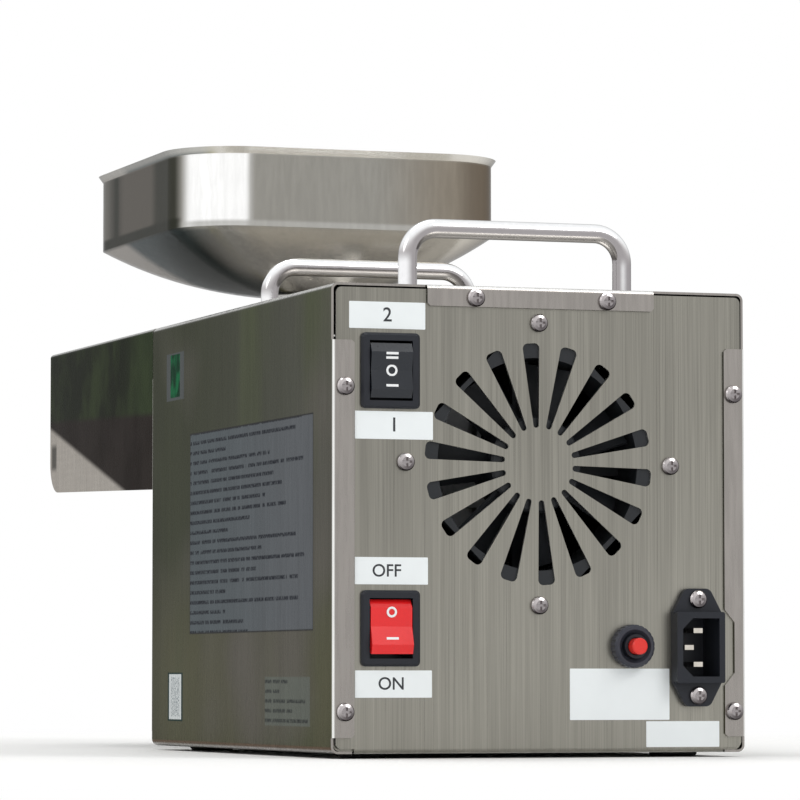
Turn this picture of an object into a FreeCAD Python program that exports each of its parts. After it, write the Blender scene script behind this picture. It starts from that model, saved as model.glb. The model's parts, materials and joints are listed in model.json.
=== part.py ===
import FreeCAD, Part
import Sketcher
import math
import os

# A bench-top screw oil press: a folded stainless body with the motor, gearbox and fan inside,
# a press barrel with its auger in front under a sheet hood, and a stamped hopper above.
# +Y is the rear, +Z is up, and X is across. The origin is on the floor, under the middle of the machine.

doc = FreeCAD.newDocument("screw_oil_press")
sheet = doc.addObject("Spreadsheet::Sheet", "sizes")
sub_parts = []


class Size:
    """A length that carries its value and the spreadsheet expression that gives it."""

    def __init__(self, value, text):
        self.value = value
        self.text = text

    def __add__(self, other):
        other = as_size(other)
        return Size(self.value + other.value, f"({self.text} + {other.text})")

    def __sub__(self, other):
        other = as_size(other)
        return Size(self.value - other.value, f"({self.text} - {other.text})")

    def __mul__(self, other):
        other = as_size(other)
        return Size(self.value * other.value, f"({self.text} * {other.text})")

    def __truediv__(self, other):
        other = as_size(other)
        return Size(self.value / other.value, f"({self.text} / {other.text})")

    def __neg__(self):
        return Size(-self.value, f"(0 - {self.text})")

    def __radd__(self, other):
        return as_size(other) + self

    def __rsub__(self, other):
        return as_size(other) - self

    def __rmul__(self, other):
        return as_size(other) * self


def as_size(value):
    return value if isinstance(value, Size) else Size(float(value), repr(float(value)))


def sine(angle):
    angle = as_size(angle)
    return Size(math.sin(math.radians(angle.value)), f"sin({angle.text})")


def cosine(angle):
    angle = as_size(angle)
    return Size(math.cos(math.radians(angle.value)), f"cos({angle.text})")


# ---------------------------------------------------------------- driving sizes
metal = 1.0
bend_radius = 3.0
seat_gap = 0.3
running_gap = 0.1

# body
body_width = 182.0
body_height = 192.0
body_length = 267.0
foot_proud = 2.0
panel_gap = 0.8
panel_corner = 2.5
cover_lip = 9.0
panel_lip = 11.0
side_flange = 9.5
side_flange_low = 6.5
side_flange_high = 168.5
top_flange_width = 100.0
top_flange_drop = 8.7
flange_chamfer = 1.2
top_screw_x = 29.0
top_screw_drop = 5.0
side_screw_inset = 5.4
low_screw_z = 17.0
high_screw_z = 149.5
base_thickness = 1.2
base_turn_up = 14.0
foot_radius = 10.0
foot_inset_x = 22.0
foot_inset_y = 26.0
foot_stem_radius = 3.0

# screws
screw_head_radius = 3.7
screw_head_height = 2.4
screw_radius = 1.9
screw_length = 6.0
recess_width = 1.0
recess_span = 4.2

# handles
handle_span = 96.0
handle_rod_radius = 4.0
handle_rise = 26.3
handle_bend = 12.5
rear_handle_y = 30.0
front_handle_y = 222.0
stud_radius = 2.5
stud_length = 8.0
nut_width = 8.0
nut_height = 4.0

# fan and its slots
fan_x = 1.0
fan_z = 119.0
fan_size = 92.0
fan_depth = 25.0
fan_corner = 6.0
fan_bore_radius = 44.0
fan_hole_spacing = 82.5
fan_hub_radius = 20.0
fan_strut_width = 7.0
fan_strut_depth = 4.0
fan_tip_gap = 1.2
fan_blade_count = 7
fan_blade_thickness = 1.6
fan_blade_chord = 22.0
fan_axle_radius = 2.5
slot_count = 18
slot_outer_radius = 50.0
slot_inner_radius = 15.0
slot_outer_width = 7.3
slot_inner_width = 2.4
slot_corner = 2.2
slot_turn = 4.0

# rocker switches
switch_edge = 25.0
direction_switch_z = 156.2
heater_switch_z = 51.0
bezel_width = 25.4
bezel_height = 31.0
bezel_proud = 2.0
case_width = 21.6
case_height = 27.0
case_depth = 21.0
well_width = 18.6
well_height = 24.6
well_depth = 13.0
rocker_width = 17.8
rocker_half_height = 11.2
rocker_proud = 3.4
rocker_dish = 1.2
rocker_bevel = 3.6
rocker_pivot_depth = 3.0
heater_tilt = 8.0
pivot_radius = 1.2
tab_width = 6.3
tab_length = 8.0
tab_thickness = 0.8
tab_pitch = 8.0

# overload protector
breaker_spacing = 28.7
breaker_z = 43.9
breaker_ring_radius = 9.0
breaker_ring_height = 5.0
breaker_neck_radius = 5.0
breaker_bore_radius = 3.7
breaker_button_radius = 3.4
breaker_reach = 10.5
breaker_travel = 2.0
breaker_body_width = 14.0
breaker_body_height = 24.0
breaker_body_depth = 26.0
knurl_count = 24
knurl_depth = 0.6

# mains inlet
notch_depth = 4.4
notch_half = 10.6
notch_slope = 5.2
inlet_edge = 22.6
inlet_z = 43.5
inlet_ear_length = 49.0
inlet_ear_width = 11.0
inlet_height = 29.5
inlet_width = 21.5
inlet_proud = 7.0
inlet_ear_thickness = 3.0
inlet_cavity_height = 24.2
inlet_cavity_width = 16.4
inlet_cavity_depth = 17.5
inlet_cavity_chamfer = 4.5
inlet_case_height = 27.0
inlet_case_width = 19.4
inlet_case_depth = 16.0
inlet_screw_spacing = 40.0
pin_length = 14.0
pin_width = 4.0
pin_thickness = 2.0
pin_pitch = 7.0
pin_step = 4.0

# press unit, along the shaft from the front panel
shaft_z = 150.0
shaft_radius = 8.0
hex_width = 9.0
hex_length = 14.0
sleeve_start = 3.3
sleeve_length = 18.0
sleeve_radius = 13.0
stub_length = 16.0
head_radius = 39.5
head_thickness = 8.0
head_boss_radius = 25.0
head_boss_length = 18.0
head_bolt_radius = 34.0
bolt_radius = 2.5
bolt_head_radius = 4.25
bolt_head_height = 5.0
bolt_length = 22.0
bearing_width = 4.0
barrel_radius = 22.0
barrel_bore_radius = 15.0
barrel_length = 141.0
collar_radius = 24.0
collar_thickness = 4.0
throat_y = 55.0
throat_radius = 20.0
throat_bore_radius = 15.5
slit_count = 12
slit_width = 1.0
slit_pitch = 3.4
slit_half_span = 13.0
slit_start = 87.0
auger_gap = 0.4
auger_pitch = 17.0
auger_shoulder = 13.0
nose_margin = 3.0
auger_root_start = 9.0
auger_root_end = 12.4
flight_root_width = 5.0
flight_tip_width = 2.6
nose_length = 16.0
nose_end_radius = 6.0
ring_nut_radius = 29.0
ring_nut_length = 20.0
ring_nut_lip = 3.2
grip_count = 8
grip_radius = 3.0
nozzle_radius = 28.0
nozzle_length = 30.0
nozzle_overlap = 12.0
nozzle_mouth_radius = 10.0
heater_start = 68.5
heater_length = 15.0
heater_thickness = 3.0
lug_width = 4.0
lug_drop = 7.0
probe_radius = 2.0
probe_length = 16.0

# hood
hood_gap = 0.5
hood_length = 185.5
hood_side_inset = 0.5
hood_rear_height = 74.5
hood_front_height = 69.0
hood_corner = 15.0
hood_slot_gap = 3.0
rail_length = 60.0
rail_leg = 12.0
rail_thickness = 1.5
rail_foot = 18.0
rail_gap = 0.5

# hopper
hopper_width = 163.0
hopper_depth = 179.0
hopper_corner = 35.0
hopper_y = 336.0
hopper_rim_z = 276.0
hopper_flare = 2.2
hopper_flare_height = 3.0
hopper_wall_z = 239.4
hopper_mid_z = 221.8
hopper_base_z = 213.0
hopper_base_width = 38.0
hopper_sheet = 1.0
spout_radius = 15.0
spout_wall = 1.2
spout_length = 26.0
spout_flange = 1.2

# drive
motor_z = 119.0
motor_radius = 43.0
motor_length = 116.0
end_bell_length = 13.0
end_bell_radius = 38.0
vent_count = 8
gearbox_width = 90.0
gearbox_height = 112.0
gearbox_low_z = 74.0
gearbox_cover_depth = 8.0
gearbox_depth = 44.0
gearbox_corner = 10.0
cradle_width = 64.0
cradle_thickness = 12.0
front_cradle_y = 190.0
rear_cradle_y = 118.0

# control board
board_length = 66.0
board_width = 96.0
board_thickness = 1.6
board_y = 36.0
standoff_height = 8.0
standoff_radius = 3.0
relay_x = -34.0
relay_length = 18.0
relay_width = 15.0
capacitor_x = -6.0
capacitor_radius = 8.0
capacitor_height = 24.0
sink_x = 12.0
sink_width = 27.0
sink_fins = 5
sink_base = 4.0
sink_height = 22.0
sink_length = 40.0

# Each size above gets a cell of the sheet, and from here on carries the expression that names it.
driving_sizes = {name: value for name, value in globals().items() if isinstance(value, (int, float))}
for cell_row, (alias, value) in enumerate(driving_sizes.items(), 1):
    sheet.set(f"A{cell_row}", alias)
    sheet.set(f"B{cell_row}", str(value))
    sheet.setAlias(f"B{cell_row}", alias)
    globals()[alias] = Size(float(value), f"sizes.{alias}")
doc.recompute()

# ---------------------------------------------------------------- places worked out from the sizes
panel_face = body_length - 2 * metal
front_face = body_length - metal
machine_reach = front_face + hood_gap + hood_length
rear_y = (machine_reach - breaker_reach) / 2
inner_half_width = body_width / 2 - metal
head_face = panel_face + head_thickness
barrel_front = head_face + barrel_length
throat_top = hopper_base_z - spout_flange - seat_gap
spigot_radius = head_boss_radius - 5 * metal
head_bolts = [
    (across * head_bolt_radius / math.sqrt(2), shaft_z + up * head_bolt_radius / math.sqrt(2))
    for across in (-1, 1) for up in (-1, 1)]
switch_x = body_width / 2 - switch_edge
inlet_x = inlet_edge - body_width / 2
breaker_x = inlet_x + breaker_spacing
hood_width = body_width - 2 * hood_side_inset
rail_outer_x = hood_width / 2 - metal - rail_gap
rail_top = body_height - metal - rail_gap
rail_screw_x = rail_outer_x - rail_leg - rail_foot / 2
rail_screw_z = rail_top - rail_foot / 2
rail_screws = [(side * rail_screw_x, rail_screw_z) for side in (-1, 1)]
base_top = metal + base_thickness
base_end_gap = 2 * metal
feet_places = [
    (side * (body_width / 2 - foot_inset_x), y)
    for side in (-1, 1) for y in (foot_inset_y, body_length - foot_inset_y)]
gearbox_rear = panel_face - metal - gearbox_cover_depth - gearbox_depth
gearbox_bolts = [
    (side * (gearbox_width / 2 - gearbox_corner * 0.8), z)
    for side in (-1, 1)
    for z in (gearbox_low_z + gearbox_corner * 0.8, gearbox_low_z + gearbox_height - gearbox_corner * 0.8)]
auger_radius = barrel_bore_radius - auger_gap


# ---------------------------------------------------------------- modelling helpers
def bind(obj, prop, size):
    obj.setExpression(prop, as_size(size).text)


def place(obj, x, forward, up, turn=0):
    """Put an object at x, this far forward of the rear panel's face and above the body's lower edge."""
    spots = (as_size(x), rear_y - forward, up + foot_proud)
    base = FreeCAD.Vector(*(spot.value for spot in spots))
    obj.Placement = FreeCAD.Placement(base, FreeCAD.Rotation(FreeCAD.Vector(0, 0, 1), turn))
    for name, spot in zip("xyz", spots):
        bind(obj, f"Placement.Base.{name}", spot)


def new_body(name):
    body = doc.addObject("PartDesign::Body", name)
    body.Label = name
    sub_parts.append(body)
    return body


def origin_plane(body, role):
    return next(item for item in body.Origin.OriginFeatures if item.Role == role)


def new_sketch(body, name, role, offset=0, across=0, along=0):
    """Attach a sketch to an origin plane, moved by offset along its normal and by across and along in it."""
    sketch = body.newObject("Sketcher::SketchObject", name)
    sketch.AttachmentSupport = [(origin_plane(body, role), "")]
    sketch.MapMode = "FlatFace"
    shifts = (as_size(across), as_size(along), as_size(offset))
    sketch.AttachmentOffset = FreeCAD.Placement(
        FreeCAD.Vector(*(shift.value for shift in shifts)), FreeCAD.Rotation())
    for name_of_axis, shift in zip("xyz", shifts):
        bind(sketch, f"AttachmentOffset.Base.{name_of_axis}", shift)
    return sketch


def pin_point(sketch, geometry, end, x, y):
    """Fix one end of a piece of geometry by its two distances from the sketch's origin."""
    for kind, distance in (("DistanceX", as_size(x)), ("DistanceY", as_size(y))):
        index = sketch.addConstraint(
            Sketcher.Constraint(kind, -1, 1, geometry, end, distance.value))
        if "sizes." in distance.text:
            bind(sketch, f"Constraints[{index}]", distance)


def set_radius(sketch, geometry, radius):
    index = sketch.addConstraint(Sketcher.Constraint("Radius", geometry, radius.value))
    if "sizes." in radius.text:
        bind(sketch, f"Constraints[{index}]", radius)


def vector(x, y):
    return FreeCAD.Vector(as_size(x).value, as_size(y).value, 0)


def polygon(sketch, corners):
    """Draw a closed outline through the corners."""
    first = sketch.GeometryCount
    count = len(corners)
    for index, corner in enumerate(corners):
        following = corners[(index + 1) % count]
        sketch.addGeometry(Part.LineSegment(vector(*corner), vector(*following)))
    for index, corner in enumerate(corners):
        sketch.addConstraint(
            Sketcher.Constraint("Coincident", first + index, 2, first + (index + 1) % count, 1))
        pin_point(sketch, first + index, 1, *corner)


def rectangle(sketch, x_low, y_low, x_high, y_high):
    polygon(sketch, [(x_low, y_low), (x_high, y_low), (x_high, y_high), (x_low, y_high)])


def centred_rectangle(sketch, x, y, width, height):
    width, height = as_size(width), as_size(height)
    rectangle(sketch, x - width / 2, y - height / 2, x + width / 2, y + height / 2)


def circle(sketch, x, y, radius):
    radius = as_size(radius)
    sketch.addGeometry(Part.Circle(vector(x, y), FreeCAD.Vector(0, 0, 1), radius.value))
    geometry = sketch.GeometryCount - 1
    pin_point(sketch, geometry, 3, x, y)
    set_radius(sketch, geometry, radius)


def rounded_rectangle(sketch, x, y, width, height, radius):
    """Draw a rectangle about (x, y) whose four corners are arcs."""
    x, y, half_width, half_height = as_size(x), as_size(y), width / 2, height / 2
    straight_x, straight_y = half_width - radius, half_height - radius
    sides = [
        ((x - straight_x, y - half_height), (x + straight_x, y - half_height)),
        ((x + half_width, y - straight_y), (x + half_width, y + straight_y)),
        ((x + straight_x, y + half_height), (x - straight_x, y + half_height)),
        ((x - half_width, y + straight_y), (x - half_width, y - straight_y)),
    ]
    corners = [
        (x + straight_x, y - straight_y, 270),
        (x + straight_x, y + straight_y, 0),
        (x - straight_x, y + straight_y, 90),
        (x - straight_x, y - straight_y, 180),
    ]
    first = sketch.GeometryCount
    for (start, end), (corner_x, corner_y, angle) in zip(sides, corners):
        sketch.addGeometry(Part.LineSegment(vector(*start), vector(*end)))
        full = Part.Circle(vector(corner_x, corner_y), FreeCAD.Vector(0, 0, 1), radius.value)
        sketch.addGeometry(Part.ArcOfCircle(full, math.radians(angle), math.radians(angle + 90)))
    for index, (start, end) in enumerate(sides):
        line = first + 2 * index
        arc = line + 1
        sketch.addConstraint(Sketcher.Constraint("Coincident", line, 2, arc, 1))
        sketch.addConstraint(Sketcher.Constraint("Coincident", arc, 2, first + 2 * ((index + 1) % 4), 1))
        pin_point(sketch, line, 1, *start)
        pin_point(sketch, line, 2, *end)
        set_radius(sketch, arc, radius)


def outline(sketch, steps, closed=True):
    """Draw lines and arcs from step to step. A step is a point (x, y), or for an arc that ends there
    (x, y, centre x, centre y, radius, turn), whose turn is 1 anticlockwise and -1 clockwise."""
    first = sketch.GeometryCount
    count = len(steps)
    ends = []
    for index in range(count if closed else count - 1):
        start, end = steps[index], steps[(index + 1) % count]
        from_point, to_point = vector(*start[:2]), vector(*end[:2])
        if len(end) == 2:
            sketch.addGeometry(Part.LineSegment(from_point, to_point))
            ends.append((1, 2))
            continue
        centre, radius, turn = vector(*end[2:4]), as_size(end[4]), end[5]
        low, high = (from_point, to_point) if turn > 0 else (to_point, from_point)
        full = Part.Circle(centre, FreeCAD.Vector(0, 0, 1), radius.value)
        angles = [math.atan2(item.y - centre.y, item.x - centre.x) for item in (low, high)]
        sketch.addGeometry(Part.ArcOfCircle(full, *angles))
        set_radius(sketch, sketch.GeometryCount - 1, radius)
        ends.append((1, 2) if turn > 0 else (2, 1))
    for index, (start_end, finish_end) in enumerate(ends):
        pin_point(sketch, first + index, start_end, *steps[index][:2])
        following = (index + 1) % len(ends)
        if following or closed:
            sketch.addConstraint(Sketcher.Constraint(
                "Coincident", first + index, finish_end, first + following, ends[following][0]))
        else:
            pin_point(sketch, first + index, finish_end, *steps[-1][:2])


def polar(radial, sideways, angle):
    """The point this far out along a direction, and this far to its left."""
    return (radial * cosine(angle) - sideways * sine(angle),
            radial * sine(angle) + sideways * cosine(angle))


def hexagon(sketch, x, y, width_across_flats):
    """Draw a regular hexagon with flats above and below."""
    reach = width_across_flats / math.sqrt(3)
    polygon(sketch, [(x + reach * cosine(angle), y + reach * sine(angle)) for angle in range(0, 360, 60)])


def pad(body, sketch, length, name, backwards=False, both_ways=False):
    feature = body.newObject("PartDesign::Pad", name)
    feature.Profile = sketch
    feature.Length = as_size(length).value
    bind(feature, "Length", length)
    feature.Reversed = backwards
    if both_ways:
        feature.SideType = "Symmetric"
    sketch.Visibility = False
    return feature


def cut(body, sketch, name, length=None, backwards=False):
    """Pocket the sketch, by a length or through all both ways, and make sure that it removed something."""
    doc.recompute()
    before = body.Shape.Volume
    feature = body.newObject("PartDesign::Pocket", name)
    feature.Profile = sketch
    if length is None:
        feature.Type = "ThroughAll"
        feature.SideType = "Symmetric"
    else:
        feature.Length = as_size(length).value
        bind(feature, "Length", length)
        feature.Reversed = backwards
    doc.recompute()
    if not feature.Shape.Volume < before - 1e-3:
        raise RuntimeError(f"{body.Label}: {name} cuts nothing")
    return feature


def revolve(body, sketch, name):
    feature = body.newObject("PartDesign::Revolution", name)
    feature.Profile = sketch
    feature.ReferenceAxis = (sketch, ["V_Axis"])
    feature.Angle = 360
    return feature


def turned(name, points, role="XY_Plane"):
    """Make a body by turning an outline of (radius, distance) points about the sketch's upright axis."""
    body = new_body(name)
    sketch = new_sketch(body, f"{name}_outline", role)
    polygon(sketch, points)
    revolve(body, sketch, f"{name}_turned")
    return body


def loft(body, sections, name, subtract=False, ruled=False):
    feature = body.newObject("PartDesign::SubtractiveLoft" if subtract else "PartDesign::AdditiveLoft", name)
    feature.Profile = sections[0]
    feature.Sections = sections[1:]
    feature.Ruled = ruled
    return feature


def around(body, feature, sketch, count, name):
    """Repeat a feature evenly about its sketch's normal."""
    pattern = body.newObject("PartDesign::PolarPattern", name)
    pattern.Originals = [feature]
    pattern.Axis = (sketch, ["N_Axis"])
    pattern.Angle = 360
    pattern.Occurrences = int(count.value)
    bind(pattern, "Occurrences", count)
    body.Tip = pattern
    return pattern


def dress(body, kind, size, chosen, name):
    """Fillet or chamfer the edges of the body's last feature that the test chooses."""
    doc.recompute()
    base = body.Tip
    edges = [f"Edge{index + 1}" for index, edge in enumerate(base.Shape.Edges) if chosen(edge)]
    if not edges:
        raise RuntimeError(f"{body.Label}: {name} finds no edge")
    feature = body.newObject(f"PartDesign::{kind}", name)
    feature.Base = (base, edges)
    prop = "Radius" if kind == "Fillet" else "Size"
    setattr(feature, prop, as_size(size).value)
    bind(feature, prop, size)
    return feature


def runs_along(edge, axis):
    """Say whether an edge is a straight one along the axis."""
    if not isinstance(edge.Curve, Part.Line):
        return False
    return abs(getattr(edge.Curve.Direction, axis)) > 0.999


def spot(edge):
    return edge.BoundBox.Center


def near(first, second):
    return abs(first - as_size(second).value) < 0.01


def copies(name, pattern_piece, places):
    """Make one node of separate copies of a solid, each at its own placement."""
    doc.recompute()
    solids = []
    for spot_in_machine in places:
        solid = pattern_piece.Shape.copy()
        solid.Placement = spot_in_machine
        solids.append(solid)
    node = doc.addObject("Part::Feature", name)
    node.Label = name
    node.Shape = Part.makeCompound(solids)
    sub_parts.append(node)
    return node


def at(x, forward, up, axis=(0, 0, 1), turn=0):
    """A placement in the machine, from distances given as for place()."""
    base = FreeCAD.Vector(as_size(x).value, (rear_y - forward).value, (up + foot_proud).value)
    return FreeCAD.Placement(base, FreeCAD.Rotation(FreeCAD.Vector(*axis), turn))


def block(name, x, forward, up, width, length, height):
    """A plain box about x, running forward from one face and up from its base."""
    box = doc.addObject("Part::Box", name)
    box.Label = name
    for prop, size in (("Length", width), ("Width", length), ("Height", height)):
        setattr(box, prop, as_size(size).value)
        bind(box, prop, size)
    place(box, as_size(x) - as_size(width) / 2, as_size(forward) + length, up)
    sub_parts.append(box)
    return box


# ---------------------------------------------------------------- enclosure
screw_hole_radius = screw_radius + running_gap
flange_bend = panel_gap + metal
panel_top = body_height - flange_bend
top_screws = [(-top_screw_x, body_height - top_screw_drop), (top_screw_x, body_height - top_screw_drop)]
side_screw_x = body_width / 2 - side_screw_inset
side_screws = [(side * side_screw_x, z) for side in (-1, 1) for z in (low_screw_z, high_screw_z)]
front_screw_x = side_screw_x - 1.2 * metal
front_side_screws = [(side * front_screw_x, z) for side in (-1, 1) for z in (low_screw_z, high_screw_z)]
fan_hole_reach = fan_hole_spacing / math.sqrt(2)
fan_screws = [
    (fan_x - fan_hole_reach, fan_z),
    (fan_x + fan_hole_reach, fan_z),
    (as_size(fan_x), fan_z - fan_hole_reach),
    (as_size(fan_x), fan_z + fan_hole_reach),
]
inlet_screws = [(as_size(inlet_x), inlet_z + side * inlet_screw_spacing / 2) for side in (-1, 1)]
handle_legs = [(side * handle_span / 2, y) for side in (-1, 1) for y in (rear_handle_y, front_handle_y)]


def side_flange_strip(body, side, front, name):
    """A flange turned in from a side of the cover over the panel, with its bend."""
    sketch = new_sketch(body, f"{name}_section", "XY_Plane", side_flange_low)

    def from_panel(distance):
        return -(panel_face + distance) if front else as_size(distance)

    wall = side * body_width / 2
    bend_x = side * (body_width / 2 - flange_bend)
    edge_x = side * (body_width / 2 - side_flange)
    bend_y = from_panel(-panel_gap)
    turn = side if not front else -side
    outline(sketch, [
        (wall, bend_y),
        (bend_x, from_panel(metal), bend_x, bend_y, flange_bend, turn),
        (edge_x, from_panel(metal)),
        (edge_x, from_panel(0)),
        (bend_x, from_panel(0)),
        (side * (body_width / 2 - metal), bend_y, bend_x, bend_y, panel_gap, -turn),
    ])
    pad(body, sketch, side_flange_high - side_flange_low, name)


def make_cover():
    """The folded cover: top, sides, turned-in lips below, and flanges over both panels."""
    body = new_body("cover_shell")
    half = body_width / 2
    inner = half - metal
    sketch = new_sketch(body, "cover_section", "XZ_Plane", panel_gap)
    polygon(sketch, [
        (half - cover_lip, 0), (half, 0), (half, body_height), (-half, body_height),
        (-half, 0), (-half + cover_lip, 0), (-half + cover_lip, metal), (-inner, metal),
        (-inner, body_height - metal), (inner, body_height - metal), (inner, metal),
        (half - cover_lip, metal),
    ])
    pad(body, sketch, panel_face - 2 * panel_gap, "cover_fold")

    def at_fold(edge, half_width, low, high):
        middle = spot(edge)
        return runs_along(edge, "y") and near(abs(middle.x), half_width) and (
            near(middle.z, low) or near(middle.z, high))

    dress(body, "Fillet", bend_radius, lambda edge: at_fold(edge, half, 0, body_height), "outer_bends")
    dress(body, "Fillet", bend_radius - metal,
          lambda edge: at_fold(edge, inner, metal, body_height - metal), "inner_bends")

    for side in (-1, 1):
        for front in (False, True):
            end = "front" if front else "rear"
            side_flange_strip(body, side, front, f"{end}_flange_{'left' if side > 0 else 'right'}")
    top_section = new_sketch(body, "top_flange_section", "YZ_Plane")
    outline(top_section, [
        (-panel_gap, body_height, -panel_gap, panel_top, flange_bend, 1),
        (-panel_gap, body_height - metal),
        (0, panel_top, -panel_gap, panel_top, panel_gap, -1),
        (0, body_height - top_flange_drop),
        (metal, body_height - top_flange_drop),
        (metal, panel_top),
    ])
    pad(body, top_section, top_flange_width, "top_flange", both_ways=True)

    def flange_corner(edge):
        middle = spot(edge)
        at_side = near(abs(middle.x), half - side_flange) and (
            near(middle.z, side_flange_low) or near(middle.z, side_flange_high))
        at_top = near(abs(middle.x), top_flange_width / 2) and near(middle.z, body_height - top_flange_drop)
        return runs_along(edge, "y") and (at_side or at_top)

    dress(body, "Chamfer", flange_chamfer, flange_corner, "flange_corners")

    notch = new_sketch(body, "inlet_notch_outline", "XZ_Plane")
    edge_x = side_flange - half
    polygon(notch, [
        (edge_x + metal, inlet_z - notch_half - notch_slope - metal),
        (edge_x + metal, inlet_z + notch_half + notch_slope + metal),
        (edge_x, inlet_z + notch_half + notch_slope),
        (edge_x - notch_depth, inlet_z + notch_half),
        (edge_x - notch_depth, inlet_z - notch_half),
        (edge_x, inlet_z - notch_half - notch_slope),
    ])
    cut(body, notch, "inlet_notch", 2 * metal)

    holes = new_sketch(body, "flange_hole_circles", "XZ_Plane")
    for x, z in side_screws:
        circle(holes, x, z, screw_hole_radius)
    cut(body, holes, "rear_flange_holes", 2 * metal)
    front_holes = new_sketch(body, "front_flange_hole_circles", "XZ_Plane", panel_face)
    for x, z in front_side_screws:
        circle(front_holes, x, z, screw_hole_radius)
    cut(body, front_holes, "front_flange_holes", 2 * metal, backwards=True)
    top_holes = new_sketch(body, "top_flange_hole_circles", "XZ_Plane")
    for x, z in top_screws:
        circle(top_holes, x, z, screw_hole_radius)
    cut(body, top_holes, "top_flange_holes", 2 * metal)
    leg_holes = new_sketch(body, "handle_hole_circles", "XY_Plane", body_height)
    for x, y in handle_legs:
        circle(leg_holes, x, -y, stud_radius + running_gap)
    cut(body, leg_holes, "handle_holes", 2 * metal)
    place(body, 0, 0, 0)


def make_panel(name, forward, turn, openings):
    """A flat end panel with its lower lip turned in; openings draws what is cut through it."""
    body = new_body(name)
    lip_bend = 2 * metal
    width = body_width - 2 * flange_bend
    plate = new_sketch(body, f"{name}_plate", "XZ_Plane")
    height = panel_top - lip_bend
    rounded_rectangle(plate, 0, lip_bend + height / 2, width, height, panel_corner)
    pad(body, plate, metal, f"{name}_face")
    lip = new_sketch(body, f"{name}_lip_section", "YZ_Plane")
    outline(lip, [
        (0, lip_bend + panel_corner),
        (0, lip_bend),
        (-lip_bend, 0, -lip_bend, lip_bend, lip_bend, -1),
        (-panel_lip, 0),
        (-panel_lip, metal),
        (-lip_bend, metal),
        (-metal, lip_bend, -lip_bend, lip_bend, metal, 1),
        (-metal, lip_bend + panel_corner),
    ])
    lip_width = body_width - 2 * (cover_lip + panel_gap)
    pad(body, lip, lip_width, f"{name}_lip", both_ways=True)
    openings(body)
    place(body, 0, forward, 0, turn)


def rear_openings(body):
    """The fan's slots and screw holes, and the cut-outs for the switches, the protector and the inlet."""
    slot = new_sketch(body, "slot_outline", "XZ_Plane", 0, fan_x, fan_z)
    direction = 90 - slot_turn
    outer, inner = slot_outer_width / 2, slot_inner_width / 2
    shoulder = slot_outer_radius - slot_corner
    foot = slot_inner_radius + inner
    corner_low = polar(shoulder, slot_corner - outer, direction)
    corner_high = polar(shoulder, outer - slot_corner, direction)
    foot_centre = polar(foot, as_size(0), direction)
    outline(slot, [
        polar(foot, -inner, direction) + foot_centre + (inner, 1),
        polar(shoulder, -outer, direction),
        polar(slot_outer_radius, slot_corner - outer, direction) + corner_low + (slot_corner, 1),
        polar(slot_outer_radius, outer - slot_corner, direction),
        polar(shoulder, outer, direction) + corner_high + (slot_corner, 1),
        polar(foot, inner, direction),
        polar(foot - inner, as_size(0), direction) + foot_centre + (inner, 1),
    ])
    first_slot = cut(body, slot, "fan_slot")
    around(body, first_slot, slot, slot_count, "fan_slots")

    holes = new_sketch(body, "small_hole_circles", "XZ_Plane")
    for x, z in side_screws + fan_screws + top_screws + inlet_screws:
        circle(holes, x, z, screw_hole_radius)
    circle(holes, breaker_x, breaker_z, breaker_neck_radius + running_gap)
    cut(body, holes, "small_holes")
    windows = new_sketch(body, "window_outlines", "XZ_Plane")
    for z in (direction_switch_z, heater_switch_z):
        centred_rectangle(windows, switch_x, z, case_width + seat_gap, case_height + seat_gap)
    centred_rectangle(windows, inlet_x, inlet_z, inlet_case_width + seat_gap, inlet_case_height + seat_gap)
    cut(body, windows, "windows")


def front_openings(body):
    """The hole for the press head's spigot, its bolt holes and the holes for the hood rails' screws."""
    sketch = new_sketch(body, "head_hole_circles", "XZ_Plane")
    circle(sketch, 0, shaft_z, spigot_radius + running_gap)
    for x, z in head_bolts:
        circle(sketch, x, z, bolt_radius + running_gap)
    for x, z in front_side_screws + rail_screws:
        circle(sketch, x, z, screw_hole_radius)
    cut(body, sketch, "head_holes")


def make_base_plate():
    """A tray that lies on the cover's lips, with its sides turned up and holes for the feet."""
    body = new_body("base_plate")
    half = inner_half_width - seat_gap
    sketch = new_sketch(body, "tray_section", "XZ_Plane", base_end_gap)
    polygon(sketch, [
        (-half, metal), (half, metal), (half, metal + base_turn_up),
        (half - base_thickness, metal + base_turn_up), (half - base_thickness, base_top),
        (-half + base_thickness, base_top), (-half + base_thickness, metal + base_turn_up),
        (-half, metal + base_turn_up),
    ])
    pad(body, sketch, panel_face - 2 * base_end_gap, "tray")

    def tray_bend(edge, half_width, height):
        middle = spot(edge)
        return runs_along(edge, "y") and near(abs(middle.x), half_width) and near(middle.z, height)

    dress(body, "Fillet", bend_radius, lambda edge: tray_bend(edge, half, metal), "tray_outer_bends")
    dress(body, "Fillet", bend_radius - base_thickness,
          lambda edge: tray_bend(edge, half - base_thickness, base_top), "tray_inner_bends")
    holes = new_sketch(body, "foot_hole_circles", "XY_Plane")
    for x, y in feet_places:
        circle(holes, x, -y, foot_stem_radius + running_gap)
    cut(body, holes, "foot_holes")
    place(body, 0, 0, 0)


def make_feet():
    """Push-in rubber feet: a disc below the tray and a barbed stem through it."""
    pattern_piece = doc.addObject("PartDesign::Body", "foot_pattern")
    sketch = new_sketch(pattern_piece, "foot_outline", "XZ_Plane")
    barb = foot_stem_radius + 2 * running_gap
    polygon(sketch, [
        (0, -foot_proud), (foot_radius - metal, -foot_proud), (foot_radius, metal - foot_proud),
        (foot_radius, metal), (foot_stem_radius, metal), (foot_stem_radius, base_top),
        (barb, base_top + metal), (foot_stem_radius - metal, base_top + 3 * metal),
        (0, base_top + 3 * metal),
    ])
    revolve(pattern_piece, sketch, "foot_turned")
    copies("feet", pattern_piece, [at(x, y, 0) for x, y in feet_places])


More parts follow.
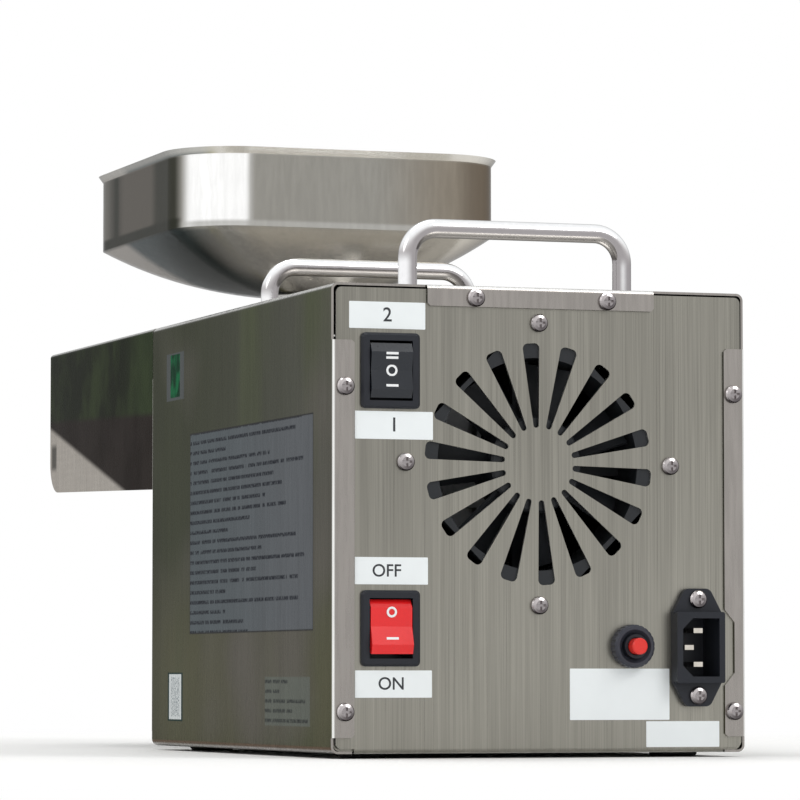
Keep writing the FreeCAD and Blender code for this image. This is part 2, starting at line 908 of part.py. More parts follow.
# ---------------------------------------------------------------- screws
def make_screw_pattern():
    """A pan-head screw along +Y, seated at the origin, with a cross recess."""
    body = doc.addObject("PartDesign::Body", "screw_pattern")
    sketch = new_sketch(body, "screw_outline", "XY_Plane")
    shoulder = screw_head_height / 2
    crown = screw_head_radius * 0.55
    polygon(sketch, [
        (0, -screw_length), (screw_radius, -screw_length), (screw_radius, 0), (screw_head_radius, 0),
        (screw_head_radius, shoulder), (screw_head_radius * 0.86, screw_head_height * 0.8),
        (crown, screw_head_height), (0, screw_head_height),
    ])
    revolve(body, sketch, "screw_turned")
    cross = new_sketch(body, "cross_outline", "XZ_Plane", -screw_head_height)
    half, reach = recess_width / 2, recess_span / 2
    polygon(cross, [
        (half, half), (half, reach), (-half, reach), (-half, half), (-reach, half), (-reach, -half),
        (-half, -half), (-half, -reach), (half, -reach), (half, -half), (reach, -half), (reach, half),
    ])
    cut(body, cross, "cross_recess", screw_head_height * 0.6, backwards=True)
    return body


def make_screws():
    """The visible pan-head screws of the rear, and those of the front panel."""
    screw = make_screw_pattern()

    def rear(x, z, forward):
        return at(x, forward, z)

    def front(x, z, forward):
        return at(x, forward, z, turn=180)

    copies("cover_screws", screw,
           [rear(x, z, -metal) for x, z in side_screws + top_screws])
    copies("fan_screws", screw, [rear(x, z, as_size(0)) for x, z in fan_screws])
    copies("inlet_screws", screw, [rear(x, z, -inlet_ear_thickness) for x, z in inlet_screws])
    copies("front_screws", screw, [front(x, z, front_face) for x, z in front_side_screws])
    copies("rail_screws", screw, [front(x, z, panel_face + rail_thickness) for x, z in rail_screws])


# ---------------------------------------------------------------- handles
def make_handle(name, forward):
    """A bent round bar with a threaded stud under each leg."""
    body = new_body(name)
    half = handle_span / 2
    ring = new_sketch(body, f"{name}_section", "XY_Plane")
    circle(ring, -half, 0, handle_rod_radius)
    path = new_sketch(body, f"{name}_path", "XZ_Plane")
    low = handle_rise - handle_bend
    outline(path, [
        (-half, 0),
        (-half, low),
        (handle_bend - half, handle_rise, handle_bend - half, low, handle_bend, -1),
        (half - handle_bend, handle_rise),
        (half, low, half - handle_bend, low, handle_bend, -1),
        (half, 0),
    ], closed=False)
    pipe = body.newObject("PartDesign::AdditivePipe", f"{name}_bar")
    pipe.Profile = ring
    pipe.Spine = (path, [])
    studs = new_sketch(body, f"{name}_studs", "XY_Plane")
    for side in (-1, 1):
        circle(studs, side * half, 0, stud_radius)
    pad(body, studs, stud_length, f"{name}_stud_pair", backwards=True)
    place(body, 0, forward, body_height)


def make_handle_nuts():
    pattern_piece = doc.addObject("PartDesign::Body", "nut_pattern")
    sketch = new_sketch(pattern_piece, "nut_outline", "XY_Plane")
    hexagon(sketch, 0, 0, nut_width)
    circle(sketch, 0, 0, stud_radius + running_gap)
    pad(pattern_piece, sketch, nut_height, "nut_block")
    copies("handle_nuts", pattern_piece,
           [at(x, y, body_height - metal - nut_height) for x, y in handle_legs])


# ---------------------------------------------------------------- fan
def make_fan_frame():
    """The square fan frame, set on its corner, with its hub plate on four struts at the inner side."""
    body = new_body("fan_frame")
    reach = fan_size / math.sqrt(2)
    square = new_sketch(body, "frame_outline", "XZ_Plane")
    polygon(square, [(reach, 0), (0, reach), (-reach, 0), (0, -reach)])
    pad(body, square, fan_depth, "frame_block")
    dress(body, "Fillet", fan_corner, lambda edge: runs_along(edge, "y"), "frame_corners")
    bore = new_sketch(body, "frame_bore_circle", "XZ_Plane")
    circle(bore, 0, 0, fan_bore_radius)
    cut(body, bore, "frame_bore")
    plate_depth = fan_depth - fan_strut_depth
    arm = fan_bore_radius + metal
    for name, width, height in (("across", 2 * arm, fan_strut_width), ("upright", fan_strut_width, 2 * arm)):
        strut = new_sketch(body, f"strut_{name}_outline", "XZ_Plane", plate_depth)
        centred_rectangle(strut, 0, 0, width, height)
        pad(body, strut, fan_strut_depth, f"strut_{name}")
    hub = new_sketch(body, "hub_circle", "XZ_Plane", plate_depth)
    circle(hub, 0, 0, fan_hub_radius)
    pad(body, hub, fan_strut_depth, "hub_plate")
    holes = new_sketch(body, "frame_hole_circles", "XZ_Plane")
    for x, z in ((fan_hole_reach, 0), (0, fan_hole_reach), (-fan_hole_reach, 0), (0, -fan_hole_reach)):
        circle(holes, x, z, screw_hole_radius)
    circle(holes, 0, 0, fan_axle_radius + running_gap)
    cut(body, holes, "frame_holes")
    place(body, fan_x, metal, fan_z)


def make_fan_rotor():
    """The hub with its axle and its twisted blades."""
    body = new_body("fan_rotor")
    top = fan_tip_gap
    bottom = fan_depth - fan_strut_depth - fan_tip_gap
    axle_end = fan_depth - metal
    hub = new_sketch(body, "rotor_outline", "XY_Plane")
    polygon(hub, [
        (0, -top), (fan_hub_radius - metal, -top), (fan_hub_radius, -top - metal),
        (fan_hub_radius, -bottom), (fan_axle_radius, -bottom), (fan_axle_radius, -axle_end),
        (0, -axle_end),
    ])
    revolve(body, hub, "rotor_hub")
    middle = (top + bottom) / 2
    sections = []
    for label, radius, angle, chord in (
            ("root", fan_hub_radius - 2 * metal, 48, fan_blade_chord * 0.8),
            ("tip", fan_bore_radius - 2 * fan_tip_gap, 34, fan_blade_chord)):
        section = new_sketch(body, f"blade_{label}", "YZ_Plane", radius)
        half, edge = chord / 2, fan_blade_thickness / 2
        corners = [polar(u, v, angle) for u, v in ((half, -edge), (half, edge), (-half, edge), (-half, -edge))]
        polygon(section, [(y - middle, z) for y, z in ((v, u) for u, v in corners)])
        sections.append(section)
    blade = loft(body, sections, "blade", ruled=True)
    doc.recompute()
    pattern = around(body, blade, hub, fan_blade_count, "blades")
    pattern.Axis = (hub, ["V_Axis"])
    place(body, fan_x, metal, fan_z)


# ---------------------------------------------------------------- switches
def make_switch_case(name, z):
    """The bezel and case of a rocker switch, open at the front for the rocker."""
    body = new_body(name)
    bezel = new_sketch(body, f"{name}_bezel", "XZ_Plane")
    rounded_rectangle(bezel, 0, 0, bezel_width, bezel_height, bezel_proud)
    pad(body, bezel, bezel_proud, f"{name}_bezel_plate", backwards=True)
    dress(body, "Chamfer", bezel_proud / 2,
          lambda edge: near(edge.BoundBox.YMin, bezel_proud) and near(edge.BoundBox.YMax, bezel_proud),
          f"{name}_bezel_slope")
    block_outline = new_sketch(body, f"{name}_block", "XZ_Plane")
    centred_rectangle(block_outline, 0, 0, case_width, case_height)
    pad(body, block_outline, case_depth, f"{name}_block_pad")
    well = new_sketch(body, f"{name}_well", "XZ_Plane", -bezel_proud)
    centred_rectangle(well, 0, 0, well_width, well_height)
    cut(body, well, f"{name}_well_cut", well_depth, backwards=True)
    pivot = new_sketch(body, f"{name}_pivot", "YZ_Plane")
    circle(pivot, -rocker_pivot_depth, 0, pivot_radius + running_gap)
    cut(body, pivot, f"{name}_pivot_hole")
    place(body, switch_x, 0, z)


def make_rocker(name, z, tilt):
    """A dished rocker on two pivot pins, tipped by tilt so that its upper end is in."""
    body = new_body(name)
    profile = new_sketch(body, f"{name}_profile", "YZ_Plane")
    face = rocker_proud + rocker_pivot_depth
    tip = face - rocker_bevel / 2
    back = -0.45 * rocker_half_height
    back_half = rocker_half_height * 0.76
    polygon(profile, [
        (tip, rocker_half_height), (face, rocker_half_height - rocker_bevel), (face - rocker_dish, 0),
        (face, rocker_bevel - rocker_half_height), (tip, -rocker_half_height),
        (back, -back_half), (back, back_half),
    ])
    pad(body, profile, rocker_width, f"{name}_block", both_ways=True)
    pins = new_sketch(body, f"{name}_pins", "YZ_Plane")
    circle(pins, 0, 0, pivot_radius)
    pad(body, pins, case_width - seat_gap, f"{name}_pivot_pins", both_ways=True)
    place(body, switch_x, rocker_pivot_depth, z)
    body.Placement = FreeCAD.Placement(
        body.Placement.Base, FreeCAD.Rotation(FreeCAD.Vector(1, 0, 0), as_size(tilt).value))


def make_switch_tabs():
    """The three connection tabs behind each switch."""
    tab = doc.addObject("Part::Box", "tab_pattern")
    for prop, value in (("Length", tab_width), ("Width", tab_length), ("Height", tab_thickness)):
        bind(tab, prop, value)
    places = []
    for z in (direction_switch_z, heater_switch_z):
        for step in (-1, 0, 1):
            height = z + step * tab_pitch - tab_thickness / 2
            places.append(at(switch_x - tab_width / 2, case_depth + tab_length, height))
    copies("switch_tabs", tab, places)


# ---------------------------------------------------------------- overload protector
def make_breaker():
    """The protector's case with its threaded neck, its knurled ring and its button."""
    body = new_body("breaker_body")
    neck = new_sketch(body, "neck_outline", "XY_Plane")
    mouth = breaker_ring_height + metal
    floor = breaker_travel + metal
    polygon(neck, [
        (0, -2 * floor), (breaker_neck_radius, -2 * floor), (breaker_neck_radius, mouth),
        (breaker_bore_radius, mouth), (breaker_bore_radius, -floor), (0, -floor),
    ])
    revolve(body, neck, "neck_turned")
    case = new_sketch(body, "breaker_case_outline", "XZ_Plane", metal)
    centred_rectangle(case, 0, 0, breaker_body_width, breaker_body_height)
    pad(body, case, breaker_body_depth, "breaker_case")
    well = new_sketch(body, "button_well_circle", "XZ_Plane", -mouth)
    circle(well, 0, 0, breaker_bore_radius)
    cut(body, well, "button_well", mouth + floor, backwards=True)
    place(body, breaker_x, 0, breaker_z)

    ring = turned("breaker_ring", [
        (breaker_neck_radius + running_gap, 0), (breaker_ring_radius, 0),
        (breaker_ring_radius, breaker_ring_height - metal),
        (breaker_ring_radius - metal, breaker_ring_height),
        (breaker_ring_radius - 2 * metal, breaker_ring_height),
        (breaker_neck_radius + running_gap, breaker_ring_height - 2 * metal),
    ])
    groove = new_sketch(ring, "knurl_circle", "XZ_Plane")
    circle(groove, breaker_ring_radius + knurl_depth / 2, 0, knurl_depth)
    around(ring, cut(ring, groove, "knurl_groove"), groove, knurl_count, "knurling")
    place(ring, breaker_x, 0, breaker_z)

    button_back = floor - breaker_travel - seat_gap
    button = turned("breaker_button", [
        (0, -button_back), (breaker_button_radius, -button_back),
        (breaker_button_radius, breaker_reach - metal / 2),
        (breaker_button_radius - metal / 2, breaker_reach), (0, breaker_reach),
    ])
    place(button, breaker_x, 0, breaker_z)


# ---------------------------------------------------------------- mains inlet
def make_inlet():
    """The three-pin inlet: eared flange, raised rim, chamfered well and case, with its pins."""
    body = new_body("inlet_body")
    ear, wide = inlet_ear_width / 2, inlet_width / 2
    tip, side = inlet_ear_length / 2, inlet_height / 2
    flange = new_sketch(body, "inlet_flange_outline", "XZ_Plane")
    polygon(flange, [
        (wide, -side), (wide, side), (ear, tip), (-ear, tip),
        (-wide, side), (-wide, -side), (-ear, -tip), (ear, -tip),
    ])
    pad(body, flange, inlet_ear_thickness, "inlet_flange", backwards=True)
    dress(body, "Fillet", 0.6 * ear,
          lambda edge: runs_along(edge, "y") and near(abs(spot(edge).z), tip), "ear_ends")
    rim = new_sketch(body, "inlet_rim_outline", "XZ_Plane")
    rounded_rectangle(rim, 0, 0, inlet_width, inlet_height, as_size(metal))
    pad(body, rim, inlet_proud, "inlet_rim", backwards=True)
    case = new_sketch(body, "inlet_case_outline", "XZ_Plane")
    centred_rectangle(case, 0, 0, inlet_case_width, inlet_case_height)
    pad(body, case, inlet_case_depth, "inlet_case")
    well = new_sketch(body, "inlet_well_outline", "XZ_Plane", -inlet_proud)
    across, along = inlet_cavity_width / 2, inlet_cavity_height / 2
    polygon(well, [
        (-across, -along), (across - inlet_cavity_chamfer, -along), (across, inlet_cavity_chamfer - along),
        (across, along - inlet_cavity_chamfer), (across - inlet_cavity_chamfer, along), (-across, along),
    ])
    cut(body, well, "inlet_well", inlet_cavity_depth, backwards=True)
    holes = new_sketch(body, "inlet_hole_circles", "XZ_Plane")
    for step in (-1, 1):
        circle(holes, 0, step * inlet_screw_spacing / 2, screw_hole_radius)
    cut(body, holes, "inlet_holes")
    place(body, inlet_x, 0, inlet_z)

    pin = doc.addObject("Part::Box", "pin_pattern")
    for prop, value in (("Length", pin_width), ("Width", pin_length), ("Height", pin_thickness)):
        bind(pin, prop, value)
    floor = inlet_cavity_depth - inlet_proud
    copies("inlet_pins", pin, [
        at(inlet_x - pin_width / 2 + shift, floor, inlet_z + step * pin_pitch - pin_thickness / 2)
        for step, shift in ((-1, as_size(0)), (0, pin_step), (1, as_size(0)))])


# ---------------------------------------------------------------- press unit
def make_press_head():
    """The flange and boss that carry the barrel, with a spigot through the front panel."""
    body = turned("press_head", [
        (shaft_radius + running_gap, -metal), (spigot_radius, -metal), (spigot_radius, 0),
        (head_radius, 0), (head_radius, head_thickness), (head_boss_radius, head_thickness),
        (head_boss_radius, head_thickness + head_boss_length),
        (barrel_radius + running_gap / 2, head_thickness + head_boss_length),
        (barrel_radius + running_gap / 2, head_thickness), (shaft_radius + running_gap, head_thickness),
    ])
    holes = new_sketch(body, "head_bolt_circles", "XZ_Plane")
    for x, z in head_bolts:
        circle(holes, -x, z - shaft_z, bolt_radius + running_gap)
    cut(body, holes, "head_bolt_holes")
    place(body, 0, panel_face, shaft_z, 180)


def make_bolt_pattern():
    """A socket-head bolt along +Y, seated at the origin."""
    body = doc.addObject("PartDesign::Body", "bolt_pattern_piece")
    sketch = new_sketch(body, "bolt_outline", "XY_Plane")
    polygon(sketch, [
        (0, -bolt_length), (bolt_radius, -bolt_length), (bolt_radius, 0), (bolt_head_radius, 0),
        (bolt_head_radius, bolt_head_height), (0, bolt_head_height),
    ])
    revolve(body, sketch, "bolt_turned")
    socket = new_sketch(body, "bolt_socket", "XZ_Plane", -bolt_head_height)
    hexagon(socket, 0, 0, bolt_head_radius)
    cut(body, socket, "bolt_socket_cut", bolt_head_height / 2, backwards=True)
    return body


def make_bolts():
    bolt = make_bolt_pattern()
    copies("head_bolts", bolt,
           [at(x, panel_face + head_thickness, z, turn=180) for x, z in head_bolts])
    copies("gearbox_bolts", bolt,
           [at(x, gearbox_rear, z) for x, z in gearbox_bolts])


def make_barrel():
    """The press barrel: collar, feed throat on top, and oil slits below."""
    body = new_body("press_barrel")
    bar = new_sketch(body, "barrel_outline", "XY_Plane")
    collar_end = head_boss_length + collar_thickness
    polygon(bar, [
        (0, 0), (barrel_radius, 0), (barrel_radius, head_boss_length), (collar_radius, head_boss_length),
        (collar_radius, collar_end), (barrel_radius, collar_end), (barrel_radius, barrel_length),
        (0, barrel_length),
    ])
    revolve(body, bar, "barrel_turned")
    throat = throat_y - head_thickness
    boss = new_sketch(body, "throat_circle", "XY_Plane")
    circle(boss, 0, throat, throat_radius)
    pad(body, boss, throat_top - shaft_z, "throat_boss")
    bore = new_sketch(body, "barrel_bore_circle", "XZ_Plane")
    circle(bore, 0, 0, barrel_bore_radius)
    cut(body, bore, "barrel_bore")
    feed = new_sketch(body, "throat_bore_circle", "XY_Plane")
    circle(feed, 0, throat, throat_bore_radius)
    cut(body, feed, "throat_bore", 2 * (throat_top - shaft_z), backwards=True)
    slit = new_sketch(body, "slit_outline", "XY_Plane")
    rectangle(slit, -slit_half_span, slit_start, slit_half_span, slit_start + slit_width)
    first_slit = cut(body, slit, "oil_slit", 2 * barrel_radius)
    row = body.newObject("PartDesign::LinearPattern", "oil_slits")
    row.Originals = [first_slit]
    row.Direction = (slit, ["V_Axis"])
    row.Length = (slit_pitch * (slit_count - 1)).value
    bind(row, "Length", slit_pitch * (slit_count - 1))
    row.Occurrences = int(slit_count.value)
    bind(row, "Occurrences", slit_count)
    body.Tip = row
    place(body, 0, head_face, shaft_z, 180)


def make_auger():
    """The press screw: hexagonal drive end, shank, a root that grows to the front, and its flight."""
    body = new_body("auger_screw")
    shank = bearing_width + seat_gap + head_thickness + 3 * metal
    flight_end = barrel_length - bearing_width - nose_margin
    core = new_sketch(body, "auger_outline", "XY_Plane")
    polygon(core, [
        (0, -shank), (shaft_radius, -shank), (shaft_radius, 0), (auger_shoulder, 0),
        (auger_shoulder, 3 * metal), (auger_root_start, 3 * metal), (auger_root_end, flight_end),
        (nose_end_radius, flight_end + nose_length), (0, flight_end + nose_length),
    ])
    revolve(body, core, "auger_core")
    drive = new_sketch(body, "drive_hexagon", "XZ_Plane", shank)
    hexagon(drive, 0, 0, hex_width)
    pad(body, drive, hex_length, "drive_end")
    flight = new_sketch(body, "flight_outline", "XY_Plane")
    root_x = auger_root_start - metal
    start_y = 3 * metal + flight_root_width / 2
    polygon(flight, [
        (root_x, start_y - flight_root_width / 2), (auger_radius, start_y - flight_tip_width / 2),
        (auger_radius, start_y + flight_tip_width / 2), (root_x, start_y + flight_root_width / 2),
    ])
    helix = body.newObject("PartDesign::AdditiveHelix", "flight")
    helix.Profile = flight
    helix.ReferenceAxis = (flight, ["V_Axis"])
    helix.Mode = 0
    helix.Pitch = auger_pitch.value
    bind(helix, "Pitch", auger_pitch)
    travel = flight_end - start_y - flight_root_width
    helix.Height = travel.value
    bind(helix, "Height", travel)
    place(body, 0, head_face + bearing_width + seat_gap, shaft_z, 180)


def make_bearing():
    """The thrust ring between the head and the auger's shoulder."""
    body = turned("thrust_bearing", [
        (shaft_radius + running_gap, 0), (auger_radius, 0), (auger_radius, bearing_width),
        (shaft_radius + running_gap, bearing_width),
    ])
    place(body, 0, head_face, shaft_z, 180)


def make_output_shaft():
    """The gearbox output: a sleeve with a hexagonal socket for the auger, and the shaft behind it."""
    body = turned("output_shaft", [
        (0, -sleeve_start - sleeve_length - stub_length), (shaft_radius, -sleeve_start - sleeve_length - stub_length),
        (shaft_radius, -sleeve_start - sleeve_length), (sleeve_radius, -sleeve_start - sleeve_length),
        (sleeve_radius, -sleeve_start), (0, -sleeve_start),
    ])
    socket = new_sketch(body, "drive_socket", "XZ_Plane", sleeve_start)
    hexagon(socket, 0, 0, hex_width + 2 * running_gap)
    cut(body, socket, "drive_socket_cut", hex_length + 3 * metal, backwards=True)
    place(body, 0, panel_face, shaft_z, 180)


def make_ring_nut():
    """The union nut that holds the barrel's collar against the head, with finger grips."""
    front = head_boss_length + collar_thickness + seat_gap + ring_nut_lip
    back = front - ring_nut_length
    lip = front - ring_nut_lip
    bore = head_boss_radius + running_gap
    body = turned("ring_nut", [
        (bore, back), (ring_nut_radius, back), (ring_nut_radius, front),
        (barrel_radius + running_gap, front), (barrel_radius + running_gap, lip), (bore, lip),
    ])
    grips(body, ring_nut_radius)
    place(body, 0, head_face, shaft_z, 180)


def grips(body, radius):
    """Cut finger grips round a turned piece."""
    sketch = new_sketch(body, f"{body.Label}_grip", "XZ_Plane")
    circle(sketch, radius + grip_radius / 2, 0, grip_radius)
    around(body, cut(body, sketch, f"{body.Label}_grip_cut"), sketch, grip_count, f"{body.Label}_grips")


def make_outlet_nozzle():
    """The cake outlet: a cap over the barrel's end with a conical mouth round the auger's nose."""
    front = nozzle_length - nozzle_overlap
    fit = barrel_radius + running_gap
    body = turned("outlet_nozzle", [
        (fit, -nozzle_overlap), (nozzle_radius, -nozzle_overlap), (nozzle_radius, front - 4 * metal),
        (nozzle_radius - 4 * metal, front), (nozzle_mouth_radius, front),
        (nozzle_mouth_radius, front - 6 * metal), (barrel_bore_radius, seat_gap), (fit, seat_gap),
    ])
    grips(body, nozzle_radius)
    place(body, 0, barrel_front, shaft_z, 180)


def make_heater_band():
    """The heater clamped round the barrel, with its clamping lugs and screw below."""
    start = heater_start
    inner = barrel_radius + running_gap / 2
    outer = inner + heater_thickness
    body = turned("heater_band", [
        (inner, start), (outer, start), (outer, start + heater_length), (inner, start + heater_length),
    ])
    lugs = new_sketch(body, "lug_outline", "XZ_Plane", -start)
    rectangle(lugs, -lug_width, -outer - lug_drop, lug_width, -outer + metal)
    pad(body, lugs, heater_length, "clamp_lugs", backwards=True)
    gap = new_sketch(body, "clamp_gap_outline", "XZ_Plane")
    rectangle(gap, -metal, -outer - lug_drop - metal, metal, -inner + metal)
    cut(body, gap, "clamp_gap")
    hole = new_sketch(body, "clamp_hole_circle", "YZ_Plane")
    circle(hole, start + heater_length / 2, -outer - lug_drop / 2, screw_hole_radius)
    cut(body, hole, "clamp_hole")
    place(body, 0, head_face, shaft_z, 180)

    screw = turned("heater_clamp_screw", [
        (0, -2 * lug_width), (screw_radius, -2 * lug_width), (screw_radius, 0),
        (screw_head_radius, 0), (screw_head_radius, screw_head_height), (0, screw_head_height),
    ])
    place(screw, lug_width, head_face + start + heater_length / 2, shaft_z - outer - lug_drop / 2, -90)


def make_probe():
    """The temperature probe screwed into the side of the barrel."""
    probe = turned("temperature_probe", [
        (0, 0), (probe_radius, 0), (probe_radius, probe_length / 2), (2 * probe_radius, probe_length / 2),
        (2 * probe_radius, probe_length), (0, probe_length),
    ])
    place(probe, barrel_radius, head_face + heater_start + heater_length + 2 * metal, shaft_z, -90)


# ---------------------------------------------------------------- hood
def make_hood():
    """The sheet hood: top and sides, rounded at the lower front, with a slot for the feed throat."""
    body = new_body("hood")
    half = hood_width / 2
    low = body_height - hood_rear_height
    section = new_sketch(body, "hood_section", "XZ_Plane")
    polygon(section, [
        (-half, low), (-half, body_height), (half, body_height), (half, low), (half - metal, low),
        (half - metal, body_height - metal), (metal - half, body_height - metal), (metal - half, low),
    ])
    pad(body, section, hood_length, "hood_fold")

    def top_fold(edge, half_width, height):
        middle = spot(edge)
        return runs_along(edge, "y") and near(abs(middle.x), half_width) and near(middle.z, height)

    dress(body, "Fillet", 2 * metal, lambda edge: top_fold(edge, half, body_height), "hood_outer_bends")
    dress(body, "Fillet", metal,
          lambda edge: top_fold(edge, half - metal, body_height - metal), "hood_inner_bends")
    wedge = new_sketch(body, "hood_slope", "YZ_Plane")
    front_low = body_height - hood_front_height
    polygon(wedge, [(0, low), (-hood_length, front_low), (-hood_length, low - metal), (0, low - metal)])
    cut(body, wedge, "hood_lower_edge")
    dress(body, "Fillet", hood_corner,
          lambda edge: runs_along(edge, "x") and near(spot(edge).y, -hood_length)
          and near(spot(edge).z, front_low), "hood_front_corners")
    slot = new_sketch(body, "throat_slot", "XY_Plane", body_height + metal)
    reach = throat_radius + hood_slot_gap
    centre = panel_face + throat_y - front_face - hood_gap
    outline(slot, [
        (reach, metal),
        (-reach, metal),
        (-reach, -centre),
        (0, -centre - reach, 0, -centre, reach, 1),
        (reach, -centre, 0, -centre, reach, 1),
    ])
    cut(body, slot, "throat_slot_cut", 4 * metal)
    place(body, 0, front_face + hood_gap, 0)


def make_rail(name, side):
    """An angle fixed to the front panel, on which one side of the hood slides."""
    body = new_body(name)
    outer = side * rail_outer_x
    top = rail_top
    inner = outer - side * rail_leg
    leg = new_sketch(body, f"{name}_section", "XZ_Plane")
    polygon(leg, [
        (inner, top), (outer, top), (outer, top - rail_leg), (outer - side * rail_thickness, top - rail_leg),
        (outer - side * rail_thickness, top - rail_thickness), (inner, top - rail_thickness),
    ])
    pad(body, leg, rail_length, f"{name}_angle")
    foot = new_sketch(body, f"{name}_foot_outline", "XZ_Plane")
    polygon(foot, [
        (inner - side * rail_foot, top - metal), (outer - side * metal, top - metal),
        (outer - side * metal, top - rail_foot), (inner - side * rail_foot, top - rail_foot),
    ])
    pad(body, foot, rail_thickness, f"{name}_foot")
    hole = new_sketch(body, f"{name}_hole_circle", "XZ_Plane")
    circle(hole, side * rail_screw_x, rail_screw_z, screw_hole_radius)
    cut(body, hole, f"{name}_hole")
    place(body, 0, panel_face, 0)


# ---------------------------------------------------------------- hopper
def make_hopper():
    """The stamped hopper: straight walls with round corners, a flared rim and a dished, sloping floor."""
    body = new_body("hopper")
    outlet_y = -(panel_face + throat_y)
    wall_width = hopper_width - 2 * hopper_flare
    wall_depth = hopper_depth - 2 * hopper_flare
    wall_corner = hopper_corner - hopper_flare
    flare_z = hopper_rim_z - hopper_flare_height

    def section(label, inset, height, y, width, depth, corner):
        sketch = new_sketch(body, f"{label}_outline", "XY_Plane", height)
        rounded_rectangle(sketch, 0, y, width - 2 * inset, depth - 2 * inset, corner - inset)
        return sketch

    def stack(label, inset, lift, subtract):
        floor = section(f"{label}_floor", inset, hopper_base_z + lift, outlet_y,
                        hopper_base_width, hopper_base_width, hopper_base_width * 0.48)
        middle = section(f"{label}_middle", inset, hopper_mid_z + lift, (outlet_y - hopper_y) / 2,
                         (wall_width + hopper_base_width) / 2, (wall_depth + hopper_base_width) / 2,
                         (wall_corner + hopper_base_width * 0.48) / 2)
        knee = section(f"{label}_knee", inset, hopper_wall_z + lift / 2, -hopper_y,
                       wall_width, wall_depth, wall_corner)
        shoulder = section(f"{label}_shoulder", inset, flare_z, -hopper_y,
                           wall_width, wall_depth, wall_corner)
        rim = section(f"{label}_rim", inset, hopper_rim_z, -hopper_y,
                      hopper_width, hopper_depth, as_size(hopper_corner))
        loft(body, [floor, middle, knee], f"{label}_bowl", subtract)
        loft(body, [knee, shoulder], f"{label}_wall", subtract, ruled=True)
        loft(body, [shoulder, rim], f"{label}_flare", subtract, ruled=True)

    stack("outer", as_size(0), as_size(0), False)
    stack("inner", hopper_sheet, hopper_sheet, True)
    outlet = new_sketch(body, "outlet_circle", "XY_Plane", hopper_base_z)
    circle(outlet, 0, outlet_y, spout_radius - spout_wall)
    cut(body, outlet, "outlet")
    place(body, 0, 0, 0)


def make_spout():
    """The hopper's outlet tube, which drops into the feed throat."""
    bore = spout_radius - spout_wall
    body = turned("hopper_spout", [
        (bore, -spout_length), (spout_radius, -spout_length), (spout_radius, -spout_flange),
        (spout_radius + 3 * metal, -spout_flange), (spout_radius + 3 * metal, 0), (bore, 0),
    ], "XZ_Plane")
    place(body, 0, panel_face + throat_y, hopper_base_z)


# ---------------------------------------------------------------- drive
def make_gearbox():
    """The gearbox in two halves, bored for the output shaft and its sleeve."""
    housing = new_body("gearbox_housing")
    cover = new_body("gearbox_cover")
    middle_z = gearbox_low_z + gearbox_height / 2
    bore = sleeve_radius + seat_gap
    for body, depth in ((housing, gearbox_depth), (cover, gearbox_cover_depth)):
        label = body.Label
        sketch = new_sketch(body, f"{label}_outline", "XZ_Plane")
        rounded_rectangle(sketch, 0, middle_z, gearbox_width, gearbox_height, gearbox_corner)
        pad(body, sketch, depth, f"{label}_block")
    pocket = new_sketch(housing, "sleeve_bore_circle", "XZ_Plane", gearbox_depth)
    circle(pocket, 0, shaft_z, bore)
    cut(housing, pocket, "sleeve_bore", sleeve_start + sleeve_length + seat_gap - metal - gearbox_cover_depth)
    journal = new_sketch(housing, "shaft_bore_circle", "XZ_Plane", gearbox_depth)
    circle(journal, 0, shaft_z, shaft_radius + running_gap)
    cut(housing, journal, "shaft_bore",
        sleeve_start + sleeve_length + stub_length + seat_gap - metal - gearbox_cover_depth)
    window = new_sketch(cover, "cover_bore_circle", "XZ_Plane")
    circle(window, 0, shaft_z, bore)
    cut(cover, window, "cover_bore")
    bolt_holes = new_sketch(housing, "gearbox_bolt_circles", "XZ_Plane")
    for x, z in gearbox_bolts:
        circle(bolt_holes, x, z, bolt_radius + running_gap)
    cut(housing, bolt_holes, "gearbox_bolt_holes")
    in_housing = bolt_length - head_thickness - metal - gearbox_cover_depth + seat_gap
    for body, offset, depth in ((cover, 0, gearbox_cover_depth), (housing, gearbox_depth, in_housing)):
        head_holes = new_sketch(body, f"{body.Label}_head_bolt_circles", "XZ_Plane", offset)
        for x, height in head_bolts:
            circle(head_holes, x, height, bolt_radius + running_gap)
        cut(body, head_holes, f"{body.Label}_head_bolt_holes", depth, backwards=body is cover)
    place(housing, 0, gearbox_rear, 0)
    place(cover, 0, gearbox_rear + gearbox_depth, 0)


def make_motor():
    """The motor's can and its slotted end bell."""
    can = turned("motor_can", [
        (0, 0), (motor_radius - 3 * metal, 0), (motor_radius, 3 * metal), (motor_radius, motor_length),
        (0, motor_length),
    ])
    place(can, 0, gearbox_rear, motor_z)
    bell = turned("motor_end_bell", [
        (0, 0), (motor_radius, 0), (motor_radius, 3 * metal), (end_bell_radius, 6 * metal),
        (end_bell_radius - 3 * metal, end_bell_length), (0, end_bell_length),
    ])
    vent = new_sketch(bell, "vent_outline", "XZ_Plane", -end_bell_length)
    rectangle(vent, end_bell_radius * 0.4, -2 * metal, end_bell_radius * 0.8, 2 * metal)
    around(bell, cut(bell, vent, "vent", end_bell_length / 2, backwards=True), vent, vent_count, "vents")
    place(bell, 0, gearbox_rear - motor_length, motor_z)


def make_cradle(name, forward):
    """A saddle on the base plate, hollowed to the motor's radius."""
    body = new_body(name)
    half = cradle_width / 2
    side = new_sketch(body, f"{name}_outline", "XZ_Plane")
    polygon(side, [
        (-half, base_top), (half, base_top), (half, motor_z - motor_radius / 2),
        (-half, motor_z - motor_radius / 2),
    ])
    pad(body, side, cradle_thickness, f"{name}_block")
    saddle = new_sketch(body, f"{name}_saddle", "XZ_Plane")
    circle(saddle, 0, motor_z, motor_radius + running_gap / 2)
    cut(body, saddle, f"{name}_saddle_cut")
    place(body, 0, forward, 0)


